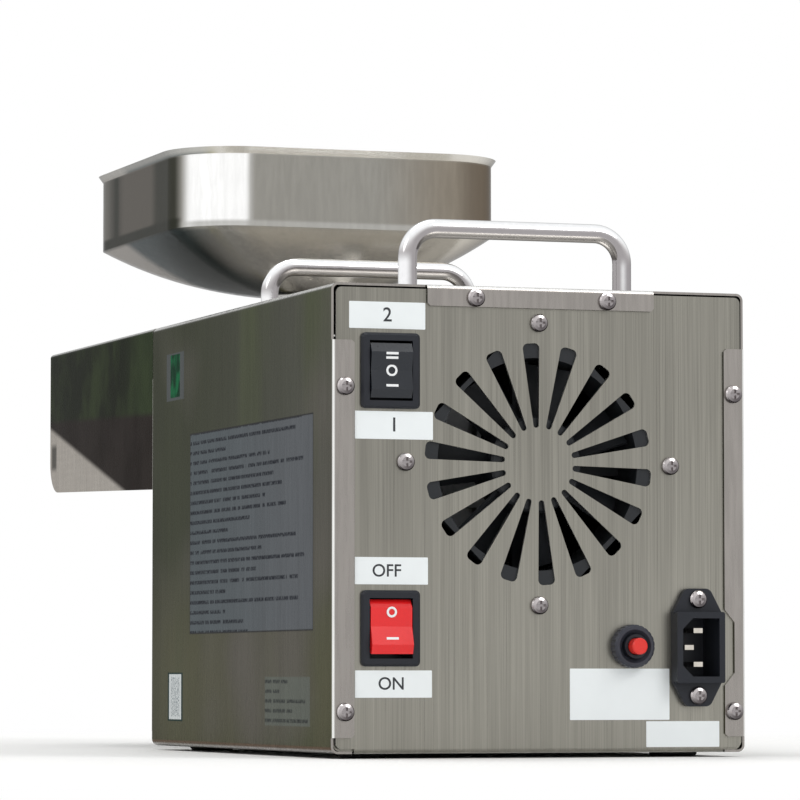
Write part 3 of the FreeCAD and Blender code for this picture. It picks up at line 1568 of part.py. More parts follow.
# ---------------------------------------------------------------- control board
def make_board():
    """The control board on its standoffs, with a relay, a capacitor and a finned heat sink."""
    under = base_top + standoff_height
    block("control_board", 0, board_y, under, board_width, board_length, board_thickness)
    standoff = doc.addObject("Part::Cylinder", "standoff_pattern")
    bind(standoff, "Radius", standoff_radius)
    bind(standoff, "Height", standoff_height)
    inset = 2 * standoff_radius
    copies("board_standoffs", standoff, [
        at(side * (board_width / 2 - inset), y, base_top)
        for side in (-1, 1) for y in (board_y + inset, board_y + board_length - inset)])
    top = under + board_thickness
    block("relay", relay_x, board_y + inset, top, relay_length, relay_width, relay_width)
    capacitor = doc.addObject("Part::Cylinder", "capacitor")
    capacitor.Label = "capacitor"
    bind(capacitor, "Radius", capacitor_radius)
    bind(capacitor, "Height", capacitor_height)
    place(capacitor, capacitor_x, board_y + board_length / 2, top)
    sub_parts.append(capacitor)
    sink = new_body("heat_sink")
    comb = new_sketch(sink, "sink_outline", "XZ_Plane")
    pitch = sink_width / (2 * sink_fins - 1)
    corners = [(as_size(0), as_size(0))]
    for fin in range(int(sink_fins.value)):
        left = 2 * fin * pitch
        corners += [(left, sink_base), (left, sink_height), (left + pitch, sink_height),
                    (left + pitch, sink_base)]
    corners[1:2] = []
    corners[-1:] = [(sink_width, as_size(0))]
    polygon(comb, corners)
    pad(sink, comb, sink_length, "sink_block")
    place(sink, sink_x, board_y + inset, top)


make_cover()
make_panel("rear_panel", as_size(0), 0, rear_openings)
make_panel("front_panel", panel_face, 180, front_openings)
make_base_plate()
make_feet()
make_handle("rear_handle", rear_handle_y)
make_handle("front_handle", front_handle_y)
make_handle_nuts()
make_fan_frame()
make_fan_rotor()
make_switch_case("direction_switch_case", direction_switch_z)
make_switch_case("heater_switch_case", heater_switch_z)
make_rocker("direction_rocker", direction_switch_z, 0)
make_rocker("heater_rocker", heater_switch_z, heater_tilt)
make_switch_tabs()
make_breaker()
make_inlet()
make_screws()
make_press_head()
make_barrel()
make_auger()
make_output_shaft()
make_bearing()
make_ring_nut()
make_outlet_nozzle()
make_heater_band()
make_probe()
make_bolts()
make_hood()
make_rail("hood_rail_left", 1)
make_rail("hood_rail_right", -1)
make_hopper()
make_spout()
make_gearbox()
make_motor()
make_cradle("front_cradle", front_cradle_y)
make_cradle("rear_cradle", rear_cradle_y)
make_board()
doc.recompute()

for item in doc.Objects:
    if {"Invalid", "Error"} & set(item.State):
        raise RuntimeError(f"{item.Label} did not build: {item.State}")
for item in sub_parts:
    if item.Shape.isNull() or not item.Shape.isValid() or not item.Shape.Solids:
        raise RuntimeError(f"{item.Label} has no valid solid")
os.makedirs("parts", exist_ok=True)
for item in sub_parts:
    item.Shape.exportStep(f"parts/{item.Label}.step")
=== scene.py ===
import json
import math

import bpy
from mathutils import Matrix, Vector


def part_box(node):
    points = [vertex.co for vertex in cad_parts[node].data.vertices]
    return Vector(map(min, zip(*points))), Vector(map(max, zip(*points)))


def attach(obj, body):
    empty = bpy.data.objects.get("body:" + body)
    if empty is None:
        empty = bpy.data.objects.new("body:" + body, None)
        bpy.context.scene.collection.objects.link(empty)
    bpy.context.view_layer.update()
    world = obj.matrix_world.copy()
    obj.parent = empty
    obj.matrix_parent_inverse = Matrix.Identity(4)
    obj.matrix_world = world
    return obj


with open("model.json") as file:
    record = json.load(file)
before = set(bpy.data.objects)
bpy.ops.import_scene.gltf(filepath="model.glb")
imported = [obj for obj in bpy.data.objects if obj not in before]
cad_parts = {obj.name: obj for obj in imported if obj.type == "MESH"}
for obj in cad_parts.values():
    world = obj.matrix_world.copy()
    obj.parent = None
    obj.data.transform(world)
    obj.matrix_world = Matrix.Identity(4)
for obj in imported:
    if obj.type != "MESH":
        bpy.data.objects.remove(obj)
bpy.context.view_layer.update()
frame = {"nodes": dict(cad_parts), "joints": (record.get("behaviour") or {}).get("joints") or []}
nodes = frame["nodes"]
scene = bpy.context.scene
MM = 0.001
EDGE_TINT = 0.52  # keeps the metals' own tone where they are seen at a low angle
PAINT_EDGE = 0.2 * MM  # how far a painted edge fades

# painted places on the case's left side, in millimetres: y from and to, then z from and to
PLATE = (17.25, 196.45, 52.3, 142.0)
PLATE_FIELD = (17.85, 195.85, 52.9, 141.4)
PLATE_ROWS = (21.5, 190.0, 55.0, 139.5)
PRINT_BLOCK = (130.2, 192.2, 12.8, 33.3)
# a painted shadow border round the sticker
STICKER_SHADOW = (-17.5, 6.2, 13.4, 35.2)
STICKER = (-15.5, 4.0, 14.2, 34.5)
STICKER_PRINT = (-12.5, 1.2, 15.5, 33.2)
BADGE_BACK = (-20.8, 7.0, 158.5, 180.0)
BADGE = (-14.5, 0.5, 159.8, 179.3)

# film labels on the rear panel, in millimetres: x from and to, then z from and to
FILM = 0.14
LABELS = {
    "label_upper": (50.7, 83.6, 175.4, 186.4),
    "label_upper_low": (47.4, 81.1, 130.2, 141.6),
    "label_heater": (49.6, 81.1, 70.9, 82.0),
    "label_heater_low": (47.9, 81.0, 24.8, 35.9),
    "label_protector": (-56.8, -12.5, 15.5, 36.7),
    "label_inlet": (-79.2, -46.4, 4.2, 14.9),
}
# the words, their size and their middle's x and z, in millimetres
LETTERING = {
    "lettering_two": ("2", 8.2, 67.1, 180.9),
    "lettering_one": ("1", 8.2, 64.2, 135.9),
    "lettering_off": ("OFF", 7.2, 67.4, 76.3),
    "lettering_on": ("ON", 7.2, 65.4, 30.3),
}

# a rocker's face, in millimetres out from its pivot: its middle, and its crests above and below
FACE_MIDDLE = 5.2
CREST_RISE = 1.2
CREST_HEIGHT = 7.6
HEATER_TILT = 8.0
BAR_WIDTH = 5.2
BAR_HEIGHT = 1.0
MARK_DEPTH = 0.12
# each bar's joint, tilt and height above the pivot
BARS = {
    "mark_two_high": ("direction_rock", 0, 7.0),
    "mark_two_low": ("direction_rock", 0, 5.2),
    "mark_one": ("direction_rock", 0, -6.2),
    "mark_heater_one": ("heater_rock", HEATER_TILT, -5.0),
}
# each ring's joint, tilt, height above the pivot, outer and inner radius and thickness
RINGS = {
    "mark_zero": ("direction_rock", 0, 0.0, 2.4, 1.5, 0.16),
    "mark_heater_zero": ("heater_rock", HEATER_TILT, 5.8, 2.2, 1.3, 0.14),
}
RING_LIFT = 0.2

# each lamp's place, size and power, in metres and watts
LAMPS = {
    "key": ((-1.3, 1.9, 1.9), 1.3, 24.0),
    "top": ((0.3, -0.3, 2.2), 1.5, 22.0),
    "side": ((2.2, 0.9, 1.4), 1.2, 5.0),
}
LAMP_AIM = (0, 0, 0.1)
FILL_LIGHT = 0.62
FLOOR_REACH = 14.0
FLOOR_FADE = (0.34, 0.75)  # how far from the middle the floor turns to plain white

CAMERA_PLACE = (0.6765, 2.00495, 0.03306)
CAMERA_YAW = 19.38
CAMERA_PITCH = 3.46
CAMERA_LENS = 208.035
AIM_LEFT = 0.0063595
AIM_DOWN = 0.00045425

rear_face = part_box("rear_panel")[1].y
case_low, case_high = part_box("cover_shell")


# ------------------------------------------------------------------ node trees
class Shade:
    """One material's node tree, with short calls for the nodes that the finishes share."""

    def __init__(self, name, color, metallic=0.0, roughness=0.5, **sockets):
        self.material = bpy.data.materials.new(name)
        self.material.use_nodes = True
        self.tree = self.material.node_tree
        self.surface = self.tree.nodes["Principled BSDF"]
        self.surface.inputs["Base Color"].default_value = (*color, 1.0)
        self.surface.inputs["Metallic"].default_value = metallic
        self.surface.inputs["Roughness"].default_value = roughness
        self.tint_edge(EDGE_TINT if metallic else 1.0)
        for socket, value in sockets.items():
            self.surface.inputs[socket.replace("_", " ")].default_value = value
        self.color = tuple(color)
        coordinates = self.tree.nodes.new("ShaderNodeTexCoord")
        self.place = coordinates.outputs["Object"]
        split = self.tree.nodes.new("ShaderNodeSeparateXYZ")
        self.tree.links.new(self.place, split.inputs[0])
        self.x, self.y, self.z = split.outputs
        self._normal = None

    def tint_edge(self, edge):
        self.surface.inputs["Specular Tint"].default_value = (edge, edge, edge, 1.0)

    def normal(self):
        """The surface's own direction in the part's frame, split in three."""
        if self._normal is None:
            split = self.tree.nodes.new("ShaderNodeSeparateXYZ")
            coordinates = self.tree.nodes.new("ShaderNodeTexCoord")
            self.tree.links.new(coordinates.outputs["Normal"], split.inputs[0])
            self._normal = split.outputs
        return self._normal

    def feed(self, value, socket):
        if isinstance(value, bpy.types.NodeSocket):
            self.tree.links.new(value, socket)
        elif isinstance(value, (tuple, list)) and len(value) == 3 and socket.type == "RGBA":
            socket.default_value = (*value, 1.0)
        else:
            socket.default_value = value

    def math(self, operation, first, second=0.0, clamp=False):
        node = self.tree.nodes.new("ShaderNodeMath")
        node.operation = operation
        node.use_clamp = clamp
        self.feed(first, node.inputs[0])
        self.feed(second, node.inputs[1])
        return node.outputs[0]

    def ramp(self, value, low, high, start=0.0, end=1.0):
        """value from low to high becomes start to end, smoothly and held outside."""
        node = self.tree.nodes.new("ShaderNodeMapRange")
        node.interpolation_type = "SMOOTHSTEP"
        self.feed(value, node.inputs["Value"])
        for socket, number in (("From Min", low), ("From Max", high), ("To Min", start), ("To Max", end)):
            self.feed(number, node.inputs[socket])
        return node.outputs[0]

    def between(self, value, low, high, soft):
        """1 where value lies from low to high, fading over soft."""
        rising = self.ramp(value, low - soft, low + soft)
        falling = self.ramp(value, high - soft, high + soft, 1.0, 0.0)
        return self.math("MULTIPLY", rising, falling)

    def patch(self, place):
        """1 inside a place painted on the left side."""
        start, end, bottom, top = (edge * MM for edge in place)
        along = self.between(self.y, start, end, PAINT_EDGE)
        return self.both(along, self.between(self.z, bottom, top, PAINT_EDGE))

    def both(self, *masks):
        result = masks[0]
        for mask in masks[1:]:
            result = self.math("MULTIPLY", result, mask)
        return result

    def mix(self, factor, first, second):
        node = self.tree.nodes.new("ShaderNodeMix")
        node.data_type = "RGBA"
        self.feed(factor, node.inputs["Factor"])
        self.feed(first, node.inputs[6])
        self.feed(second, node.inputs[7])
        return node.outputs[2]

    def scaled(self, x, y, z, shift=0.0):
        node = self.tree.nodes.new("ShaderNodeMapping")
        node.inputs["Scale"].default_value = (x, y, z)
        node.inputs["Location"].default_value = (shift, shift, shift)
        self.tree.links.new(self.place, node.inputs["Vector"])
        return node.outputs[0]

    def noise(self, vector, scale=1.0, detail=2.0, rough=0.5):
        node = self.tree.nodes.new("ShaderNodeTexNoise")
        self.tree.links.new(vector, node.inputs["Vector"])
        node.inputs["Scale"].default_value = scale
        node.inputs["Detail"].default_value = detail
        node.inputs["Roughness"].default_value = rough
        return node.outputs["Fac"]

    def tint(self, color, value, spread):
        """color made lighter and darker by spread as value goes from 0 to 1."""
        return self.mix(value, self.shaded(color, 1 - spread), self.shaded(color, 1 + spread))

    def shaded(self, color, factor):
        """color times factor, where either may be a socket."""
        node = self.tree.nodes.new("ShaderNodeVectorMath")
        node.operation = "SCALE"
        self.feed(color, node.inputs[0])
        self.feed(factor, node.inputs["Scale"])
        return node.outputs[0]

    def use_color(self, value):
        self.feed(value, self.surface.inputs["Base Color"])

    def use_roughness(self, value):
        self.feed(value, self.surface.inputs["Roughness"])

    def bump(self, height, distance, strength=1.0):
        node = self.tree.nodes.new("ShaderNodeBump")
        node.inputs["Distance"].default_value = distance
        node.inputs["Strength"].default_value = strength
        self.tree.links.new(height, node.inputs["Height"])
        self.tree.links.new(node.outputs[0], self.surface.inputs["Normal"])


def dress(material, *names):
    """Give a material to nodes by name."""
    for name in names:
        node = nodes[name]
        node.data.materials.clear()
        node.data.materials.append(material)


def grain_finish(shade, color, stretch, spread=0.12, rough=0.32, rough_spread=0.08, depth=0.00001):
    """Brushed grain: fine lines and wide soft streaks along the stretched direction."""
    fine = shade.noise(shade.scaled(*stretch), 1.0, 3.0, 0.6)
    wide = shade.noise(shade.scaled(*(factor * 0.12 for factor in stretch), 3.0), 1.0, 2.0, 0.5)
    grained = shade.tint(color, shade.ramp(fine, 0.3, 0.7), spread)
    shade.use_color(shade.tint(grained, shade.ramp(wide, 0.3, 0.7), spread * 0.55))
    shade.use_roughness(shade.ramp(fine, 0.3, 0.7, rough - rough_spread, rough + rough_spread))
    shade.bump(fine, depth, 0.35)


# ------------------------------------------------------------------ finishes
def panel_material():
    """Upright brushed grain, with painted highlights on the cut edges round every slot and hole."""
    shade = Shade("brushed_panel", (0.265, 0.256, 0.224), 1.0, 0.34)
    x_part = shade.ramp(shade.x, -0.09, 0.09, 1.04, 0.96)
    z_part = shade.ramp(shade.z, 0.0, 0.19, 1.04, 0.97)
    base = shade.shaded(shade.color, shade.math("MULTIPLY", x_part, z_part))
    cloud = shade.noise(shade.scaled(9, 9, 5), 1.0, 2.0, 0.5)
    base = shade.mix(shade.ramp(cloud, 0.35, 0.65), base, shade.shaded(base, 0.9))
    # painted highlights on the cut edges: every face that doesn't look to the panel's front or back
    normal = shade.normal()
    facing = shade.math("ABSOLUTE", normal[1])
    edge = shade.ramp(facing, 0.35, 0.75, 1.0, 0.0)
    base = shade.mix(edge, base, (0.80, 0.79, 0.75))
    grain_finish(shade, base, (1500, 1500, 11), 0.12, 0.34, 0.07)
    return shade.material


def text_rows(shade, place, rows, ink, paper, seed):
    """Rows of short dark dashes that stand for small print, with ragged ends."""
    start, end, bottom, top = (edge * MM for edge in place)
    pitch = (top - bottom) / rows
    down = shade.math("DIVIDE", shade.math("SUBTRACT", top, shade.z), pitch)
    row = shade.math("FLOOR", down)
    within = shade.math("FRACT", down)
    line = shade.between(within, 0.30, 0.66, 0.06)
    length = shade.tree.nodes.new("ShaderNodeTexWhiteNoise")
    length.noise_dimensions = "1D"
    shade.feed(shade.math("ADD", row, seed), length.inputs["W"])
    reach = shade.math("MULTIPLY", shade.ramp(length.outputs["Value"], 0.0, 1.0, 0.3, 0.97), end - start)
    along = shade.math("SUBTRACT", shade.y, start)
    inside = shade.math("LESS_THAN", along, reach)
    dashes = shade.noise(shade.scaled(0, 1500, 700, seed), 1.0, 1.0, 0.5)
    words = shade.noise(shade.scaled(0, 260, 60, seed * 2), 1.0, 0.0, 0.5)
    gap = shade.both(shade.ramp(dashes, 0.36, 0.50), shade.ramp(words, 0.28, 0.36))
    return shade.mix(shade.both(line, inside, gap), paper, ink)


def cover_material():
    """The folded cover: painted dark soft reflections on the sides, painted highlights on the bends, and a
    plate and stickers.
    """
    shade = Shade("brushed_cover", (0.13, 0.13, 0.112), 1.0, 0.3)
    shade.tint_edge(0.44)
    nx, ny, nz = shade.normal()
    side = shade.ramp(shade.math("ABSOLUTE", nx), 0.80, 0.97)
    left_side = shade.math("MULTIPLY", side, shade.ramp(nx, 0.0, 0.5))
    top = shade.ramp(nz, 0.80, 0.97)
    end = shade.ramp(shade.math("ABSOLUTE", ny), 0.80, 0.97)

    flange = (0.300, 0.280, 0.262)
    # sides: painted reflections, lighter at the upper rear, greener towards the front, warmer below, in
    # streaks and painted sheen patches; darker at the front edge
    along = shade.ramp(shade.y, case_low.y, case_high.y)
    tall = shade.ramp(shade.z, case_low.z, case_high.z)
    streaks = shade.noise(shade.scaled(0, 17, 3.2, 1.3), 1.0, 3.0, 0.55)
    sheen = shade.noise(shade.scaled(0, 7, 9, 7.1), 1.0, 2.0, 0.5)
    wall = shade.mix(along, (0.066, 0.072, 0.046), (0.108, 0.110, 0.090))
    wall = shade.mix(shade.ramp(tall, 0.05, 0.5, 1.0, 0.0), wall, (0.122, 0.120, 0.076))
    wall = shade.mix(shade.ramp(streaks, 0.42, 0.72), wall, (0.105, 0.118, 0.070))
    wall = shade.mix(shade.ramp(sheen, 0.5, 0.75), wall, (0.150, 0.140, 0.122))
    front_fade = shade.ramp(shade.y, case_low.y, case_low.y + 0.03, 1.0, 0.0)
    wall = shade.mix(shade.math("MULTIPLY", front_fade, 0.35), wall, (0.05, 0.052, 0.04))

    # a plate with rows, a smaller block, a pale sticker with a painted shadow round it and a green badge,
    # all without words
    film = shade.mix(shade.ramp(shade.y, 0.02, 0.19), (0.128, 0.150, 0.162), (0.150, 0.160, 0.172))
    film = text_rows(shade, PLATE_ROWS, 19, (0.030, 0.033, 0.042), film, 3.0)
    film = shade.mix(shade.math("SUBTRACT", 1.0, shade.patch(PLATE_FIELD)), film, (0.05, 0.05, 0.05))
    wall = shade.mix(shade.patch(PLATE), wall, film)
    block = text_rows(shade, PRINT_BLOCK, 5, (0.055, 0.06, 0.058), (0.160, 0.172, 0.150), 11.0)
    wall = shade.mix(shade.patch(PRINT_BLOCK), wall, block)
    # a dark painted shadow border round the pale sticker
    wall = shade.mix(shade.patch(STICKER_SHADOW), wall, (0.02, 0.045, 0.04))
    wall = shade.mix(shade.patch(STICKER), wall, (0.80, 0.84, 0.84))
    specks = shade.noise(shade.scaled(0, 1300, 1300), 1.0, 1.0, 0.5)
    specks = shade.both(shade.patch(STICKER_PRINT), shade.ramp(specks, 0.52, 0.56))
    wall = shade.mix(specks, wall, (0.28, 0.32, 0.34))
    wall = shade.mix(shade.patch(BADGE_BACK), wall, (0.115, 0.125, 0.125))
    glow = shade.noise(shade.scaled(0, 160, 120, 2.0), 1.0, 1.0, 0.5)
    green = shade.mix(shade.ramp(glow, 0.4, 0.65), (0.004, 0.05, 0.022), (0.01, 0.16, 0.06))
    wall = shade.mix(shade.patch(BADGE), wall, green)

    # the other side: painted reflection tones, lighter to the rear and in streaks
    plain = shade.mix(along, (0.120, 0.122, 0.100), (0.150, 0.148, 0.125))
    plain = shade.mix(shade.ramp(streaks, 0.42, 0.72), plain, (0.200, 0.195, 0.160))
    sides = shade.mix(left_side, plain, wall)
    # painted highlights on the bends between the faces
    bend_highlight = (0.86, 0.86, 0.84)
    color = shade.mix(side, bend_highlight, sides)
    # painted reflection tones by face direction: the top lighter, the end flanges paler than the sides
    color = shade.mix(top, color, (0.42, 0.41, 0.38))
    color = shade.mix(end, color, flange)
    # a warm painted highlight along the lower bends
    low_bend_highlight = shade.both(shade.ramp(nz, -0.93, -0.15, 0.0, 1.0), shade.ramp(nz, -0.25, -0.02, 1.0, 0.0))
    color = shade.mix(low_bend_highlight, color, (0.240, 0.165, 0.120))
    # painted shade on the faces that look down
    color = shade.mix(shade.ramp(nz, -0.97, -0.8, 1.0, 0.0), color, (0.13, 0.11, 0.09))
    grain_finish(shade, color, (500, 700, 40), 0.05, 0.28, 0.05, 0.000004)
    return shade.material


def hood_material():
    """Polished sheet with painted reflections: dark foliage above, a warm dark tone below and a pale
    corner, and painted highlights on its bends.
    """
    shade = Shade("polished_hood", (0.05, 0.05, 0.04), 1.0, 0.22)
    nx, ny, nz = shade.normal()
    shade.tint_edge(0.42)
    low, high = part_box("hood")
    # painted reflections: dark foliage above a sloping line, greener to the rear, and a warm dark tone
    # below
    reflection_blotches = shade.noise(shade.scaled(0, 34, 22, 0.7), 1.0, 3.0, 0.6)
    upper = shade.mix(shade.ramp(reflection_blotches, 0.40, 0.70), (0.018, 0.022, 0.013), (0.042, 0.058, 0.025))
    rear_green = shade.ramp(shade.y, high.y - 0.06, high.y - 0.01)
    upper = shade.mix(shade.math("MULTIPLY", rear_green, 0.5), upper, (0.056, 0.085, 0.035))
    lower = shade.mix(shade.ramp(reflection_blotches, 0.3, 0.7), (0.024, 0.018, 0.015), (0.038, 0.030, 0.026))
    reach = shade.math("SUBTRACT", shade.y, low.y)
    line = shade.math("ADD", high.z - 0.034, shade.math("MULTIPLY", reach, -0.03))
    wall = shade.mix(shade.ramp(shade.math("SUBTRACT", shade.z, line), -0.002, 0.002), lower, upper)
    # a pale painted reflection over the lower front corner, with brushed grain in it
    edge_z = shade.math("SUBTRACT", high.z - 0.037, shade.math("MULTIPLY", reach, 0.262))
    pale = shade.ramp(shade.math("SUBTRACT", edge_z, shade.z), -0.0015, 0.002)
    brushed = shade.noise(shade.scaled(0, 60, 900, 0.4), 1.0, 2.0, 0.5)
    wall = shade.mix(pale, wall, shade.tint((0.560, 0.520, 0.470), brushed, 0.08))
    # a darker patch near the front top
    dark_patch = shade.both(
        shade.between(shade.y, low.y + 0.003, low.y + 0.012, 0.002),
        shade.between(shade.z, high.z - 0.058, high.z - 0.046, 0.002))
    wall = shade.mix(shade.math("MULTIPLY", dark_patch, 0.8), wall, (0.05, 0.05, 0.045))
    # painted highlights on the bends, and painted reflection tones on the top and the end faces
    side = shade.ramp(shade.math("ABSOLUTE", nx), 0.80, 0.97)
    color = shade.mix(side, (0.80, 0.80, 0.78), wall)
    color = shade.mix(shade.ramp(nz, 0.85, 0.98), color, (0.40, 0.39, 0.36))
    color = shade.mix(shade.ramp(shade.math("ABSOLUTE", ny), 0.7, 0.95), color, (0.55, 0.54, 0.51))
    grain_finish(shade, color, (500, 600, 60), 0.04, 0.24, 0.04, 0.000004)
    return shade.material


def hopper_material():
    """Satin stamped steel with painted reflections: a white light down one corner, grey walls, a painted
    highlight on the crease and a faint painted glow underneath.
    """
    shade = Shade("satin_hopper", (0.28, 0.275, 0.25), 1.0, 0.2)
    nx, ny, nz = shade.normal()
    low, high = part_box("hopper")
    flat = shade.math("ADD", shade.math("MULTIPLY", nx, nx), shade.math("MULTIPLY", ny, ny))
    flat = shade.math("SQRT", flat)
    flat = shade.math("MAXIMUM", flat, 0.001)
    side = shade.math("DIVIDE", nx, flat)
    back = shade.math("DIVIDE", ny, flat)
    across = shade.ramp(shade.x, low.x, high.x)

    # the walls' painted reflections: brown to grey across the rear wall, darker at one end and on the walls
    # facing -x, and a white reflected light down the rounded corners
    rear_wall = shade.mix(shade.ramp(across, 0.05, 0.42), (0.235, 0.205, 0.165), (0.285, 0.276, 0.250))
    rear_wall = shade.mix(shade.ramp(across, 0.0, 0.10, 1.0, 0.0), rear_wall, (0.12, 0.10, 0.08))
    wall = shade.mix(shade.ramp(side, -0.75, -0.12, 1.0, 0.0), rear_wall, (0.160, 0.130, 0.098))
    wall = shade.mix(shade.both(shade.ramp(side, 0.03, 0.16), shade.ramp(side, 0.82, 0.93, 1.0, 0.0)),
                     wall, (0.97, 0.97, 0.96))
    # the left wall's painted reflections: lighter and darker bands along its length
    reach = shade.ramp(shade.y, low.y, high.y)
    panel = shade.mix(shade.ramp(reach, 0.22, 0.34), (0.070, 0.066, 0.056), (0.135, 0.122, 0.105))
    panel = shade.mix(shade.between(reach, 0.20, 0.25, 0.02), panel, (0.035, 0.037, 0.028))
    panel = shade.mix(shade.ramp(reach, 0.70, 0.80), panel, (0.050, 0.050, 0.040))
    panel = shade.mix(shade.ramp(reach, 0.08, 0.20, 1.0, 0.0), panel, (0.21, 0.20, 0.18))
    left = shade.math("MULTIPLY", shade.ramp(side, 0.90, 0.975), shade.ramp(back, -0.9, -0.2))
    wall = shade.mix(left, wall, panel)
    # a pale painted reflection on the front wall
    front = shade.ramp(back, -0.6, -0.1, 1.0, 0.0)
    wall = shade.mix(front, wall, (0.36, 0.35, 0.325))

    # the sloping underside: painted reflections in pale, olive, dark blue-grey and beige tones
    slope = (0.52, 0.49, 0.44)
    under = shade.mix(shade.ramp(side, 0.10, 0.40), slope, (0.66, 0.64, 0.60))
    under = shade.mix(shade.ramp(side, 0.45, 0.62), under, (0.205, 0.185, 0.060))
    under = shade.mix(shade.ramp(side, 0.55, 0.72), under, (0.066, 0.084, 0.088))
    beige_reflection = shade.both(shade.ramp(side, 0.55, 0.80), shade.ramp(reach, 0.30, 0.42, 1.0, 0.0))
    under = shade.mix(beige_reflection, under, (0.400, 0.375, 0.345))
    under = shade.mix(shade.ramp(side, -0.9, -0.3, 1.0, 0.0), under, (0.300, 0.280, 0.250))
    bowl = shade.ramp(nz, -0.55, -0.25, 1.0, 0.0)
    color = shade.mix(bowl, wall, under)
    # a painted highlight along the rear crease
    crease = shade.both(shade.between(shade.z, low.z + 0.0255, low.z + 0.0290, 0.0010),
                        shade.ramp(back, 0.2, 0.7))
    color = shade.mix(shade.math("MULTIPLY", crease, 0.8), color, (0.43, 0.425, 0.40))
    # painted shade along the crease of the left wall
    crease_shade = shade.both(shade.between(shade.z, low.z + 0.026, low.z + 0.0310, 0.0010), left)
    color = shade.mix(crease_shade, color, (0.035, 0.036, 0.028))
    # a painted highlight along the rim
    rim_highlight = shade.ramp(shade.z, high.z - 0.0040, high.z - 0.0012)
    color = shade.mix(shade.math("MULTIPLY", rim_highlight, 0.7), color, (0.55, 0.54, 0.51))
    # the upward-facing surfaces painted pale, as lit from above
    inside = shade.ramp(nz, 0.03, 0.35)
    color = shade.mix(inside, color, (0.56, 0.55, 0.52))
    # a faint painted glow on the faces that look down, standing in for light bounced up
    shade.feed((0.125, 0.118, 0.105), shade.surface.inputs["Emission Color"])
    underside_glow = shade.both(bowl, shade.ramp(back, 0.3, 0.9), shade.ramp(nz, -0.995, -0.93))
    shade.feed(underside_glow, shade.surface.inputs["Emission Strength"])
    fine = shade.noise(shade.scaled(420, 420, 60), 1.0, 3.0, 0.6)
    shade.use_color(shade.tint(color, shade.ramp(fine, 0.3, 0.7), 0.035))
    shade.use_roughness(shade.ramp(fine, 0.3, 0.7, 0.17, 0.27))
    shade.bump(fine, 0.000006, 0.4)
    return shade.material


def rod_material():
    """Polished bar with painted reflections: white above, a grey line along the middle and soft white
    below.
    """
    shade = Shade("polished_rod", (0.6, 0.6, 0.6), 1.0, 0.14)
    nx, ny, nz = shade.normal()
    upper = shade.ramp(nz, 0.05, 0.45)
    # a painted dark reflected line along the middle
    dark = shade.between(nz, -0.45, 0.12, 0.16)
    color = shade.mix(upper, (0.62, 0.60, 0.60), (0.95, 0.96, 0.97))
    color = shade.mix(dark, color, (0.36, 0.34, 0.345))
    # the upright legs low down: painted highlight on the side towards +x and painted shade on the other
    leg = shade.ramp(shade.math("ABSOLUTE", shade.x), 0.0455, 0.0475)
    lit = shade.ramp(nx, -0.35, 0.55)
    upright = shade.mix(lit, (0.34, 0.32, 0.33), (0.93, 0.93, 0.94))
    low = shade.ramp(shade.z, case_high.z + 0.011, case_high.z + 0.017, 1.0, 0.0)
    low_leg = shade.math("MULTIPLY", leg, low)
    color = shade.mix(low_leg, color, upright)
    fine = shade.noise(shade.scaled(500, 500, 500), 1.0, 2.0, 0.5)
    shade.use_color(shade.tint(color, fine, 0.05))
    shade.use_roughness(shade.ramp(fine, 0.3, 0.7, 0.10, 0.18))
    return shade.material


def screw_material():
    """Plated screw heads, with painted shade in the recess and a painted highlight on the crown."""
    shade = Shade("plated_screw", (0.62, 0.60, 0.60), 1.0, 0.18)
    nx, ny, nz = shade.normal()
    # painted shade in the recess and a painted highlight on the crown
    lit = shade.ramp(shade.math("ADD", nz, shade.math("MULTIPLY", nx, 0.5)), -0.7, 0.8)
    color = shade.mix(lit, (0.07, 0.06, 0.065), (0.62, 0.58, 0.58))
    fine = shade.noise(shade.scaled(900, 900, 900), 1.0, 2.0, 0.5)
    shade.use_color(shade.tint(color, fine, 0.12))
    shade.use_roughness(shade.ramp(fine, 0.3, 0.7, 0.14, 0.26))
    return shade.material


def metal_material(name, color, rough, stretch=(300, 300, 300), spread=0.08, depth=0.01 * MM):
    """Plain metal with a fine grain."""
    shade = Shade(name, color, 1.0, rough)
    grain_finish(shade, color, stretch, spread, rough, 0.05, depth)
    return shade.material


def plastic_material(name, color, rough, spread=0.15, coat=0.0, depth=0.00002):
    """Moulded plastic or rubber with a fine texture and slightly uneven gloss."""
    shade = Shade(name, color, 0.0, rough,
                  Coat_Weight=coat, Coat_Roughness=0.12, Specular_IOR_Level=0.28)
    fine = shade.noise(shade.scaled(1400, 1400, 1400), 1.0, 2.0, 0.6)
    broad = shade.noise(shade.scaled(60, 60, 60), 1.0, 2.0, 0.5)
    shade.use_color(shade.tint(shade.tint(color, fine, spread), broad, spread * 0.5))
    shade.use_roughness(shade.ramp(broad, 0.3, 0.7, rough - 0.05, rough + 0.07))
    shade.bump(fine, depth, 0.3)
    return shade.material


def label_material():
    """White film with a faint cool tint and a soft sheen."""
    shade = Shade("label_film", (0.84, 0.88, 0.89), 0.0, 0.38)
    broad = shade.noise(shade.scaled(70, 70, 70), 1.0, 2.0, 0.5)
    shade.use_color(shade.tint(shade.color, broad, 0.035))
    fine = shade.noise(shade.scaled(900, 900, 900), 1.0, 2.0, 0.5)
    shade.use_roughness(shade.ramp(fine, 0.3, 0.7, 0.33, 0.45))
    return shade.material


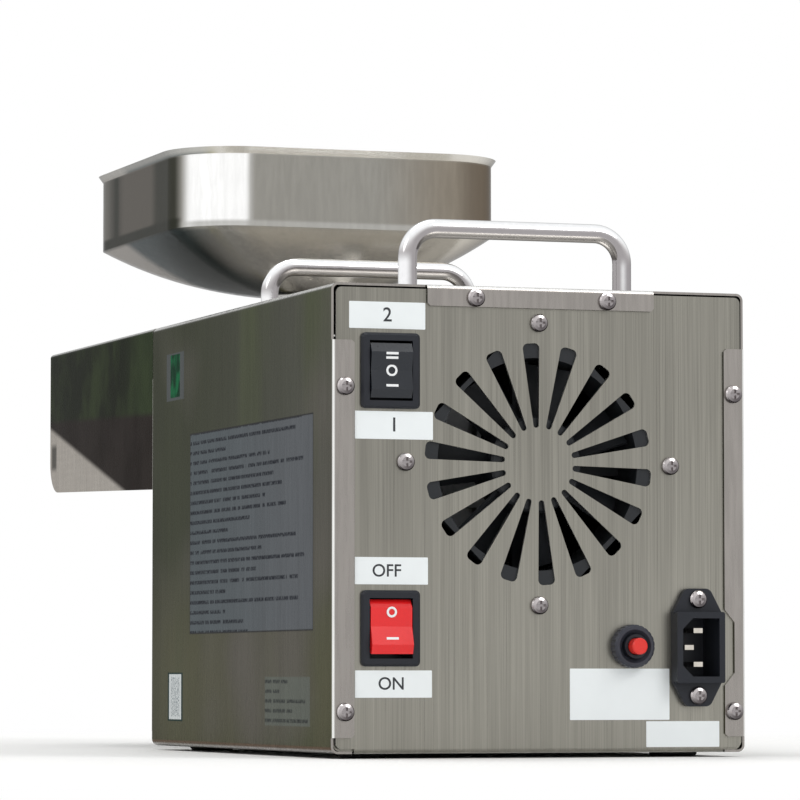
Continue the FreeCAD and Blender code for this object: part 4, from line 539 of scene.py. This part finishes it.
panel = panel_material()
cover = cover_material()
polished = metal_material("machined_steel", (0.52, 0.51, 0.49), 0.24, (80, 900, 80))
zinc = metal_material("zinc_plate", (0.50, 0.50, 0.47), 0.34, (200, 200, 200), 0.1)
cast = metal_material("cast_alloy", (0.45, 0.46, 0.47), 0.45, (260, 260, 260), 0.1, 0.00005)
black = plastic_material("black_bezel", (0.014, 0.016, 0.022), 0.36)
black_gloss = plastic_material("black_rocker", (0.010, 0.013, 0.019), 0.22, coat=0.3)
red = plastic_material("red_rocker", (0.78, 0.010, 0.012), 0.20, 0.08, coat=0.5)
red_button = plastic_material("red_button", (0.74, 0.030, 0.022), 0.28, 0.08, coat=0.3)
knurl = plastic_material("black_knurl", (0.040, 0.042, 0.055), 0.34)
fan_black = plastic_material("fan_black", (0.016, 0.018, 0.021), 0.42)
rubber = plastic_material("foot_rubber", (0.030, 0.030, 0.030), 0.75, 0.2)
board = plastic_material("board_green", (0.02, 0.16, 0.07), 0.42)
relay_blue = plastic_material("relay_blue", (0.04, 0.13, 0.38), 0.40)
ink = plastic_material("label_ink", (0.035, 0.037, 0.042), 0.5)
white_mark = plastic_material("white_mark", (0.86, 0.87, 0.88), 0.4, 0.05)
labels = label_material()
brass = metal_material("pin_plate", (0.62, 0.58, 0.52), 0.2)

dress(panel, "rear_panel", "front_panel", "base_plate")
dress(cover, "cover_shell")
dress(hood_material(), "hood")
dress(hopper_material(), "hopper")
dress(rod_material(), "rear_handle", "front_handle")
dress(screw_material(), "cover_screws", "fan_screws", "inlet_screws", "front_screws", "rail_screws",
      "heater_clamp_screw")
dress(polished, "press_head", "press_barrel", "auger_screw", "output_shaft", "thrust_bearing", "ring_nut",
      "outlet_nozzle", "hopper_spout")
dress(zinc, "hood_rail_left", "hood_rail_right", "front_cradle", "rear_cradle", "handle_nuts", "head_bolts",
      "gearbox_bolts")
dress(cast, "gearbox_housing", "gearbox_cover", "motor_end_bell", "heat_sink")
dress(metal_material("heater_sheath", (0.36, 0.32, 0.27), 0.38), "heater_band")
dress(metal_material("probe_brass", (0.60, 0.45, 0.20), 0.3), "temperature_probe")
dress(plastic_material("motor_paint", (0.02, 0.02, 0.022), 0.4, coat=0.2), "motor_can")
dress(plastic_material("capacitor_sleeve", (0.14, 0.15, 0.17), 0.4), "capacitor")
dress(black, "direction_switch_case", "heater_switch_case", "breaker_body", "inlet_body")
dress(black_gloss, "direction_rocker")
dress(red, "heater_rocker")
dress(red_button, "breaker_button")
dress(knurl, "breaker_ring")
dress(fan_black, "fan_frame", "fan_rotor")
dress(rubber, "feet")
dress(board, "control_board")
dress(relay_blue, "relay")
dress(brass, "inlet_pins", "switch_tabs", "board_standoffs")


# ------------------------------------------------------------------ added pieces
def add_mesh(name, points, faces, material, body):
    mesh = bpy.data.meshes.new(name)
    mesh.from_pydata(points, [], faces)
    mesh.update()
    piece = bpy.data.objects.new(name, mesh)
    scene.collection.objects.link(piece)
    mesh.materials.append(material)
    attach(piece, body)
    return piece


def prism(name, outline, depth, matrix, material, body):
    """An outline in the local XY plane, thickened along +Z, and put in place by the matrix."""
    count = len(outline)
    points = [matrix @ Vector((x, y, 0)) for x, y in outline]
    points += [matrix @ Vector((x, y, depth)) for x, y in outline]
    faces = [tuple(reversed(range(count))), tuple(range(count, 2 * count))]
    faces += [(i, (i + 1) % count, count + (i + 1) % count, count + i) for i in range(count)]
    return add_mesh(name, points, faces, material, body)


def ring(name, outer, inner, depth, matrix, material, body, steps=40):
    """A flat ring, thickened along +Z."""
    points, faces = [], []
    for height in (0, depth):
        for radius in (outer, inner):
            for step in range(steps):
                angle = 2 * math.pi * step / steps
                points.append(matrix @ Vector((radius * math.cos(angle), radius * math.sin(angle), height)))
    for step in range(steps):
        after = (step + 1) % steps
        low_outer, low_inner, high_outer, high_inner = 0, steps, 2 * steps, 3 * steps
        faces.append((high_outer + step, high_outer + after, high_inner + after, high_inner + step))
        faces.append((low_outer + step, low_inner + step, low_inner + after, low_outer + after))
        faces.append((low_outer + step, low_outer + after, high_outer + after, high_outer + step))
        faces.append((low_inner + after, low_inner + step, high_inner + step, high_inner + after))
    return add_mesh(name, points, faces, material, body)


def rounded(width, height, radius, steps=5):
    """The outline of a rectangle with round corners, anticlockwise."""
    outline = []
    for corner, (sign_x, sign_y) in enumerate(((1, 1), (-1, 1), (-1, -1), (1, -1))):
        for step in range(steps + 1):
            angle = math.pi / 2 * (corner + step / steps)
            outline.append((sign_x * (width / 2 - radius) + radius * math.cos(angle),
                            sign_y * (height / 2 - radius) + radius * math.sin(angle)))
    return outline


def on_rear(x, z, proud=0.0):
    """Local X to the viewer's right, local Y up and local Z out of the rear panel."""
    turn = Matrix(((-1, 0, 0), (0, 0, 1), (0, 1, 0))).to_4x4()
    return Matrix.Translation(Vector((x, rear_face + proud, z))) @ turn


def add_label(name, place):
    """A film label on the rear panel."""
    left, right, bottom, top = (edge * MM for edge in place)
    outline = rounded(right - left, top - bottom, 0.3 * MM)
    middle = on_rear((left + right) / 2, (bottom + top) / 2)
    prism(name, outline, FILM * MM, middle, labels, "machine")


def add_lettering(name, words, size, x, z):
    """Printed lettering on a label, turned to a mesh."""
    curve = bpy.data.curves.new(name, "FONT")
    curve.body = words
    curve.size = size * MM
    curve.extrude = 0.03 * MM
    curve.offset = 0.06 * MM
    curve.align_x = "CENTER"
    curve.align_y = "CENTER"
    text = bpy.data.objects.new(name, curve)
    scene.collection.objects.link(text)
    bpy.context.view_layer.update()
    mesh = bpy.data.meshes.new_from_object(text.evaluated_get(bpy.context.evaluated_depsgraph_get()))
    bpy.data.objects.remove(text)
    mesh.transform(on_rear(x * MM, z * MM, (FILM + 0.03) * MM))
    mesh.materials.clear()
    mesh.materials.append(ink)
    piece = bpy.data.objects.new(name, mesh)
    scene.collection.objects.link(piece)
    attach(piece, "machine")


def on_rocker(joint, tilt, height, lift=0.0):
    """The rocker that a joint turns, and a place on its face, with the face's slope there."""
    joint = next(item for item in frame["joints"] if item["name"] == joint)
    slope = CREST_RISE / CREST_HEIGHT
    lean = math.copysign(math.atan(slope), height) if height else 0.0
    spot = Vector((0, FACE_MIDDLE + lift + slope * abs(height), height)) * MM
    face = Matrix(((-1, 0, 0), (0, 0, 1), (0, 1, 0))).to_4x4()
    tilted = Matrix.Translation(Vector(joint["pos_m"])) @ Matrix.Rotation(math.radians(tilt), 4, "X")
    return joint["child"], tilted @ Matrix.Translation(spot) @ Matrix.Rotation(-lean, 4, "X") @ face


def add_bar(name, joint, tilt, height):
    body, place = on_rocker(joint, tilt, height)
    x, y = BAR_WIDTH * MM / 2, BAR_HEIGHT * MM / 2
    prism(name, [(-x, -y), (x, -y), (x, y), (-x, y)], MARK_DEPTH * MM, place, white_mark, body)


def add_ring(name, joint, tilt, height, outer, inner, depth):
    body, place = on_rocker(joint, tilt, height, RING_LIFT)
    ring(name, outer * MM, inner * MM, depth * MM, place, white_mark, body)


for label, place in LABELS.items():
    add_label(label, place)
for lettering, values in LETTERING.items():
    add_lettering(lettering, *values)
for bar, values in BARS.items():
    add_bar(bar, *values)
for mark, values in RINGS.items():
    add_ring(mark, *values)


# ------------------------------------------------------------------ floor, light and camera
def seen_directly(tree):
    """1 for camera, mirror and glass rays, which see plain white in place of the studio."""
    path = tree.nodes.new("ShaderNodeLightPath")
    seen = path.outputs["Is Camera Ray"]
    for kind in ("Is Glossy Ray", "Is Transmission Ray"):
        node = tree.nodes.new("ShaderNodeMath")
        node.operation = "MAXIMUM"
        tree.links.new(seen, node.inputs[0])
        tree.links.new(path.outputs[kind], node.inputs[1])
        seen = node.outputs[0]
    return seen


def add_floor():
    """A pale floor that catches the shadow and turns to plain white further out."""
    mesh = bpy.data.meshes.new("floor")
    corners = [(-1, -1), (1, -1), (1, 1), (-1, 1)]
    mesh.from_pydata([(x * FLOOR_REACH, y * FLOOR_REACH, 0) for x, y in corners], [], [(0, 1, 2, 3)])
    floor = bpy.data.objects.new("floor", mesh)
    scene.collection.objects.link(floor)
    shade = Shade("pale_floor", (0.86, 0.86, 0.85), 0.0, 0.7)
    cloud = shade.noise(shade.scaled(3, 3, 3), 1.0, 2.0, 0.5)
    shade.use_color(shade.tint(shade.color, cloud, 0.01))
    squares = (shade.math("MULTIPLY", side, side) for side in (shade.x, shade.y))
    away = shade.math("SQRT", shade.math("ADD", *squares))
    glow = shade.tree.nodes.new("ShaderNodeEmission")
    glow.inputs["Color"].default_value = (1, 1, 1, 1)
    glow.inputs["Strength"].default_value = 1.0
    blend = shade.tree.nodes.new("ShaderNodeMixShader")
    white = shade.math("MULTIPLY", seen_directly(shade.tree), shade.ramp(away, *FLOOR_FADE))
    shade.feed(white, blend.inputs[0])
    shade.tree.links.new(shade.surface.outputs[0], blend.inputs[1])
    shade.tree.links.new(glow.outputs[0], blend.inputs[2])
    shade.tree.links.new(blend.outputs[0], shade.tree.nodes["Material Output"].inputs["Surface"])
    mesh.materials.append(shade.material)


def set_world():
    """A soft white studio: weaker as light on the part, and plain white where it is seen."""
    world = bpy.data.worlds.new("studio")
    scene.world = world
    world.use_nodes = True
    tree = world.node_tree
    blend = tree.nodes.new("ShaderNodeMixShader")
    tree.links.new(seen_directly(tree), blend.inputs[0])
    white = tree.nodes.new("ShaderNodeBackground")
    lights = (tree.nodes["Background"], FILL_LIGHT), (white, 1.0)
    for socket, (background, strength) in enumerate(lights, 1):
        background.inputs["Color"].default_value = (1, 1, 1, 1)
        background.inputs["Strength"].default_value = strength
        tree.links.new(background.outputs[0], blend.inputs[socket])
    tree.links.new(blend.outputs[0], tree.nodes["World Output"].inputs["Surface"])


def add_lamp(name, place, size, watts):
    lamp = bpy.data.lights.new(name, "AREA")
    lamp.shape = "DISK"
    lamp.size = size
    lamp.energy = watts
    holder = bpy.data.objects.new(name, lamp)
    holder.location = place
    holder.rotation_euler = (Vector(LAMP_AIM) - Vector(place)).to_track_quat("-Z", "Y").to_euler()
    scene.collection.objects.link(holder)


def axes_of(forward):
    """The right and up directions of a level camera that looks this way."""
    right = forward.cross(Vector((0, 0, 1))).normalized()
    return right, right.cross(forward)


def aim_camera():
    """A long lens a little below the case's middle, turned from the rear towards the left side."""
    yaw, pitch = math.radians(CAMERA_YAW), math.radians(CAMERA_PITCH)
    forward = Vector((-math.sin(yaw) * math.cos(pitch), -math.cos(yaw) * math.cos(pitch), math.sin(pitch)))
    right, up = axes_of(forward)
    middle = (forward - right * AIM_LEFT - up * AIM_DOWN).normalized()
    right, up = axes_of(middle)
    camera = bpy.data.objects.new("camera", bpy.data.cameras.new("camera"))
    camera.data.sensor_width = 36.0
    camera.data.lens = CAMERA_LENS
    camera.data.clip_end = 40.0
    turn = Matrix((right, up, -middle)).transposed().to_4x4()
    camera.matrix_world = Matrix.Translation(Vector(CAMERA_PLACE)) @ turn
    scene.collection.objects.link(camera)
    scene.camera = camera


add_floor()
set_world()
for lamp, values in LAMPS.items():
    add_lamp(lamp, *values)
aim_camera()
scene.view_settings.view_transform = "Standard"
